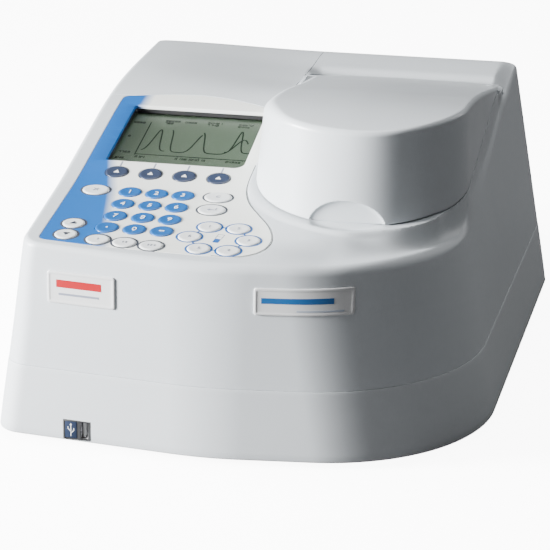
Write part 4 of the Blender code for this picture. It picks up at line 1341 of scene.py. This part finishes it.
def scan_curves():
    """Four pieces of curve in the graph area."""
    base = GRAPH[1] + 4

    def first(u):
        return base + 30 * bell(u, 24, 3.4) + 2

    def second(u):
        return (base + 1.5 + 33 / (1 + np.exp((u - 34.6) / 1.0))
                + 31 / (1 + np.exp(-(u - 51.5) / 1.5)))

    def third(u):
        return base + 2.5 + 31 / (1 + np.exp((u - 57.5) / 1.2)) + 22 * bell(u, 84.5, 6.5)

    def fourth(u):
        return (base + 6 + 30 * bell(u, 80.5, 2.2) * (u < 80.5)
                + 30 * bell(u, 80.5, 3.2) * (u >= 80.5))

    out = []
    # curve, start, end, points
    for curve, start, end, n in ((first, 16.5, 33, 46), (second, 32.0, 54.0, 60),
                                 (third, 54.5, 88, 46), (fourth, 74, 92, 46)):
        out += stroke_line([(float(u), float(curve(u))) for u in np.linspace(start, end, n)],
                           1.05)
    return out


def figures(rng, x, y, count):
    """A short row of random seven-bar figures."""
    width, height, stroke = 1.3, 2.0, 0.5
    half = stroke / 2
    out = []
    for _ in range(count):
        mid, top, right = y + height / 2, y + height, x + width
        spans = [(x, top, right, top), (right, mid, right, top), (right, y, right, mid),
                 (x, y, right, y), (x, y, x, mid), (x, mid, x, top), (x, mid, right, mid)]
        for lit in SEVEN[int(rng.integers(0, 10))]:
            x0, y0, x1, y1 = spans[lit]
            out.append([(x0 - half, y0 - half), (x1 + half, y0 - half),
                        (x1 + half, y1 + half), (x0 - half, y1 + half)])
        x += width + 0.85
    return out


def screen_drawing():
    """Axes, scan curves, readings and four key labels."""
    left, bottom, right, top = GRAPH
    polys = stroke_line([(left, top), (left, bottom), (right + 3, bottom)], 0.8)
    for k in range(6):
        polys += stroke_line([(left + 15 * k, bottom), (left + 15 * k, bottom - 1.4)], 0.4)
    polys += scan_curves()
    rng = np.random.default_rng(7)
    for x, y, count in READINGS:
        polys += figures(rng, x, y, count)
    for i in range(4):
        x0 = 1.0 + 23.2 * i
        polys += stroke_line([(x0, 1.2), (x0, 10.5), (x0 + 21.8, 10.5), (x0 + 21.8, 1.2)], 0.4)
        polys += figures(rng, x0 + 3.5, 6.6, 7)
        if i % 2 == 1 or i == 0:
            polys += figures(rng, x0 + 6, 3.2, 4)
    return polys


def lcd_segments():
    polys = []
    for poly in screen_drawing():
        poly = [(p[0] + SCREEN[0], p[1] + SCREEN[1]) for p in poly]
        area = sum(a[0] * b[1] - b[0] * a[1] for a, b in zip(poly, poly[1:] + poly[:1]))
        polys.append(poly[::-1] if area < 0 else poly)
    bm = raise_polys(polys, lambda y: float(screen_plane(y, 6.58)),
                     lambda y: float(screen_plane(y, 6.50)))
    bmesh.ops.transform(bm, matrix=Matrix.Scale(MM, 4), verts=bm.verts)
    mesh = bpy.data.meshes.new("lcd_segments")
    bm.to_mesh(mesh)
    bm.free()
    mesh.materials.append(MAT_LCD_INK)
    return new_object("lcd_segments", mesh)


place(lcd_segments(), "chassis")


# ---------------------------------------------------------------------------
# badges
# ---------------------------------------------------------------------------
def on_front(points, stand):
    """Points (x, z) laid on the front wall, standing a distance off it."""
    out = []
    for x, z in points:
        outline = plan(z)
        front = outline[outline[:, 1] < -110]
        front = front[np.argsort(front[:, 0])]
        out.append((x, np.interp(x, front[:, 0], front[:, 1]) - stand, z))
    return np.array(out)


def long_rect(x0, y0, x1, y1, radius):
    """Rounded rectangle with a fixed number of points on each side, fit for lofting."""
    corners = corner_arcs(x0, y0, x1, y1, [radius] * 4, [8] * 4)
    out = []
    for i, corner in enumerate(corners):
        p, q = corner[-1], corners[(i + 1) % 4][0]
        n = (30, 12)[i % 2]
        out += [corner, np.array([p + (q - p) * j / n for j in range(1, n)])]
    return np.vstack(out)


# rim of a badge: (inset, distance off the wall)
BADGE_RIM = [(0.0, -0.15), (0.0, 0.5), (0.12, 0.8), (0.4, 1.0), (1.6, 1.0), (1.9, 0.84),
             (2.3, 0.8)]


def badge(name, x0, x1, z0, z1):
    """Plate wrapped on the front wall with a rounded rim."""
    rings = []
    for inset, stand in BADGE_RIM:
        outline = long_rect(x0 + inset, z0 + inset, x1 - inset, z1 - inset,
                            max(0.3, 1.6 - inset * 0.5))
        rings.append(on_front(outline, stand))
    # inner rings shrink to the middle so that the face follows the curve of the wall
    mid = np.array([(x0 + x1) / 2, (z0 + z1) / 2])
    for s in (0.85, 0.7, 0.55, 0.4, 0.25, 0.1, 0.02):
        rings.append(on_front(mid + (outline - mid) * s, 0.8))
    return loft_object(name, rings, MAT_BADGE, sharp=40)


def badge_mark(x0, x1, z0, z1, mat):
    """A plain printed bar that follows the plate."""
    n = 24
    xs = np.linspace(x0, x1, n)
    # four rows: back low, back high, front low, front high
    verts = np.vstack([on_front([(x, z) for x in xs], stand)
                       for stand in (0.65, 0.92) for z in (z0, z1)])

    def quad(*corners):
        """Face from (row, column) pairs."""
        return tuple(row * n + i for row, i in corners)

    faces = []
    for i in range(n - 1):
        j = i + 1
        faces += [quad((2, i), (2, j), (3, j), (3, i)), quad((0, i), (1, i), (1, j), (0, j)),
                  quad((0, i), (0, j), (2, j), (2, i)), quad((1, i), (3, i), (3, j), (1, j))]
    end = n - 1
    faces += [quad((0, 0), (2, 0), (3, 0), (1, 0)),
              quad((0, end), (1, end), (3, end), (2, end))]
    ob = mesh_object("mark", verts, faces, mat)
    fix_normals(ob)
    return ob


# left, right, bottom and top of each piece
place(badge("badge_plate_left", -115.5, -70.5, 96.5, 117.5), "chassis", "badge_left")
place(badge("badge_plate_right", 18, 78, 101.5, 119.0), "chassis", "badge_right")
MARKS = [(-109.5, -79.5, 107.2, 112.2, MARK_RED), (-108.0, -81.0, 102.2, 103.6, INK_GREY),
         (22.5, 66.0, 109.2, 112.8, MARK_BLUE), (44.0, 72.0, 104.0, 105.2, INK_PALE)]
place(merge("badge_marks", [badge_mark(*mark) for mark in MARKS]), "chassis")

# ---------------------------------------------------------------------------
# USB block: pictogram plate on the left and an upright socket on the right
# ---------------------------------------------------------------------------
USB_Y = -193.6                            # front face

block = box("usb_block", (USB[0], USB_Y, USB[2]), (USB[1], -172, USB[3]), MAT_DARK, bevel=0.5)
boolean(block, [box("cutter", (-95.2, -200, 5.9), (-90.0, -178, 18.0)),
                box("cutter", (-105.8, -200, 6.0), (-97.2, USB_Y + 0.7, 17.9))], solver="EXACT")
finish(block, MAT_DARK, 35)
place(block, "chassis", "usb_socket")
shield = box("usb_shield", (-95.1, -193.0, 6.1), (-90.1, -179, 17.8))
boolean(shield, [box("cutter", (-94.8, -200, 6.4), (-90.4, -178, 17.5))], solver="EXACT")
set_material(shield, MAT_STEEL)
place(shield, "chassis")
place(box("usb_tongue", (-93.9, -191.5, 7.0), (-92.2, -179, 17.0), INK_WHITE, bevel=0.2),
      "chassis")
place(box("usb_symbol_plate", (-105.4, USB_Y + 0.15, 6.4), (-97.6, USB_Y + 0.75, 17.5),
          MAT_SLATE, bevel=0.15), "chassis")


def fork_symbol():
    """Branching-line pictogram, upright on its plate."""
    polys = [bar(0, -4.2, 0, 3.4, 0.5), bar(0, -2.2, 1.9, -0.4, 0.45),
             bar(1.9, -0.4, 1.9, 1.2, 0.45), bar(0, -0.9, -1.9, 0.9, 0.45),
             bar(-1.9, 0.9, -1.9, 2.2, 0.45), [(-0.8, 3.2), (0.8, 3.2), (0, 4.6)]]
    mesh = flat_mesh(polys, 0.05)
    mesh.transform(Matrix.Scale(MM, 4) @ Matrix.Translation((-101.5, USB_Y + 0.1, 11.9))
                   @ Matrix.Rotation(math.pi / 2, 4, "X"))
    mesh.materials.append(INK_WHITE)
    return new_object("usb_symbol", mesh)


place(fork_symbol(), "chassis")

# ---------------------------------------------------------------------------
# feet
# ---------------------------------------------------------------------------
# (radius, height): the underside is hollowed a little
FOOT = [(0.01, 0.35), (6.5, 0.35), (7.0, 0.0), (8.8, 0.0), (9.3, 0.3), (9.8, 3.2), (9.6, 3.7),
        (0.01, 3.7)]
for label, x, y in (("front_left", -118, -150), ("front_right", 96, -140),
                    ("rear_left", -140, 165), ("rear_right", 140, 165)):
    place(turned("foot_pad_" + label, FOOT, (x, y, 0), "Z", MAT_RUBBER, n=72),
          "chassis", "foot_" + label)

# ---------------------------------------------------------------------------
# finishes of the pieces kept from the frame: node, material, bevel width
# ---------------------------------------------------------------------------
KEPT = [("rear_panel", MAT_DARK, 0.3), ("lid_hinge_pin", MAT_STEEL, 0.0),
        ("sample_well", MAT_DARK, 0.0), ("cell_turret", MAT_DARK, 0.0),
        ("turret_motor", MAT_CAST, 0.6), ("control_board", MAT_BOARD, 0.0),
        ("monochromator_bench", MAT_CAST, 0.0), ("grating_mount", MAT_CAST, 0.4),
        ("lamp_module", MAT_DARK, 0.0), ("detector_block", MAT_CAST, 0.5),
        ("power_supply", MAT_CAST, 0.0), ("fan_frame", MAT_DARK, 0.0),
        ("fan_rotor", MAT_DARK, 0.0), ("power_inlet", MAT_DARK, 0.0),
        ("power_switch", MAT_DARK, 0.0)]
for node_name, mat, bevel in KEPT:
    set_material(nodes[node_name], mat)
    if bevel:
        mod = nodes[node_name].modifiers.new("soft_edges", "BEVEL")
        mod.width, mod.segments = bevel * MM, 2
        mod.limit_method, mod.angle_limit = "ANGLE", math.radians(40)


# ---------------------------------------------------------------------------
# floor, light and camera
# ---------------------------------------------------------------------------
def stage_floor():
    """Floor that glows white to the camera and is dark to all other rays."""
    half = 4000
    ob = mesh_object("floor", [(-half, -half, 0), (half, -half, 0), (half, half, 0),
                               (-half, half, 0)], [(0, 1, 2, 3)])
    m = Mat("floor_paper")
    seen = m.node("ShaderNodeLightPath").outputs["Is Camera Ray"]
    pale = m.mix(m.ramp(m.noise(scale=3.0)), (0.90, 0.90, 0.90, 1), (0.92, 0.92, 0.92, 1))
    color = m.mix(seen, (0.12, 0.12, 0.125, 1), pale)
    ob.data.materials.append(m.finish(color=color, rough=0.75, emit=(1, 1, 1, 1), spec=0.1,
                                      emit_strength=m.math("MULTIPLY", seen, 9.0)))


def studio_world():
    """White to the camera; otherwise bright on the left and overhead, dark on the right."""
    world = bpy.data.worlds.new("studio")
    scene.world = world
    world.use_nodes = True
    g = Graph(world.node_tree)
    x, _, z = g.split(g.node("ShaderNodeTexCoord").outputs["Generated"])
    side = g.ramp(x, across=(-0.95, -0.15), to=(0.8, 0.01))
    overhead = g.ramp(z, across=(0.2, 1.0), to=(0.0, 0.30))
    total = g.math("ADD", side, overhead)
    seen = g.node("ShaderNodeLightPath").outputs["Is Camera Ray"]
    pick = g.node("ShaderNodeMix", data_type="FLOAT")
    g.put(pick.inputs[0], seen)
    g.put(pick.inputs[2], total)
    g.put(pick.inputs[3], 22.0)           # strength seen by the camera
    background = world.node_tree.nodes["Background"]
    g.put(background.inputs["Strength"], pick.outputs[0])
    background.inputs["Color"].default_value = (1.0, 1.0, 1.0, 1)


def area(name, place_at, target, size, power):
    light = bpy.data.lights.new(name, "AREA")
    light.shape, light.size, light.size_y = "RECTANGLE", size[0], size[1]
    light.energy = power
    ob = new_object(name, light)
    ob.location = place_at
    aim = Vector(target) - Vector(place_at)
    ob.rotation_euler = aim.to_track_quat("-Z", "Y").to_euler()


def add_camera():
    """Three-quarter view from the front, slightly above."""
    heading, pitch, roll = (math.radians(a) for a in (11.106, 18.688, 0.736))
    forward = Vector((-math.sin(heading) * math.cos(pitch), math.cos(heading) * math.cos(pitch),
                      -math.sin(pitch)))
    level = Vector((math.cos(heading), math.sin(heading), 0))
    upright = level.cross(forward)
    right = level * math.cos(roll) + upright * math.sin(roll)
    up = -level * math.sin(roll) + upright * math.cos(roll)
    camera = bpy.data.cameras.new("camera")
    camera.sensor_width = 36.0
    camera.lens = 138.861818
    camera.clip_start = 0.05
    ob = new_object("camera", camera)
    matrix = Matrix((right, up, -forward)).transposed().to_4x4()
    matrix.translation = (0.2655, -1.3941, 0.5402)
    ob.matrix_world = matrix
    scene.camera = ob


stage_floor()
studio_world()
area("key", place_at=(-2.40, -1.05, 0.65), target=(0, -0.05, 0.1), size=(0.7, 0.8), power=520)
area("top", place_at=(0.0, 0.25, 2.0), target=(0, -0.05, 0.15), size=(1.2, 1.2), power=22)
area("rim", place_at=(1.5, 1.45, 0.8), target=(0.1, 0, 0.1), size=(0.25, 1.0), power=5)
add_camera()
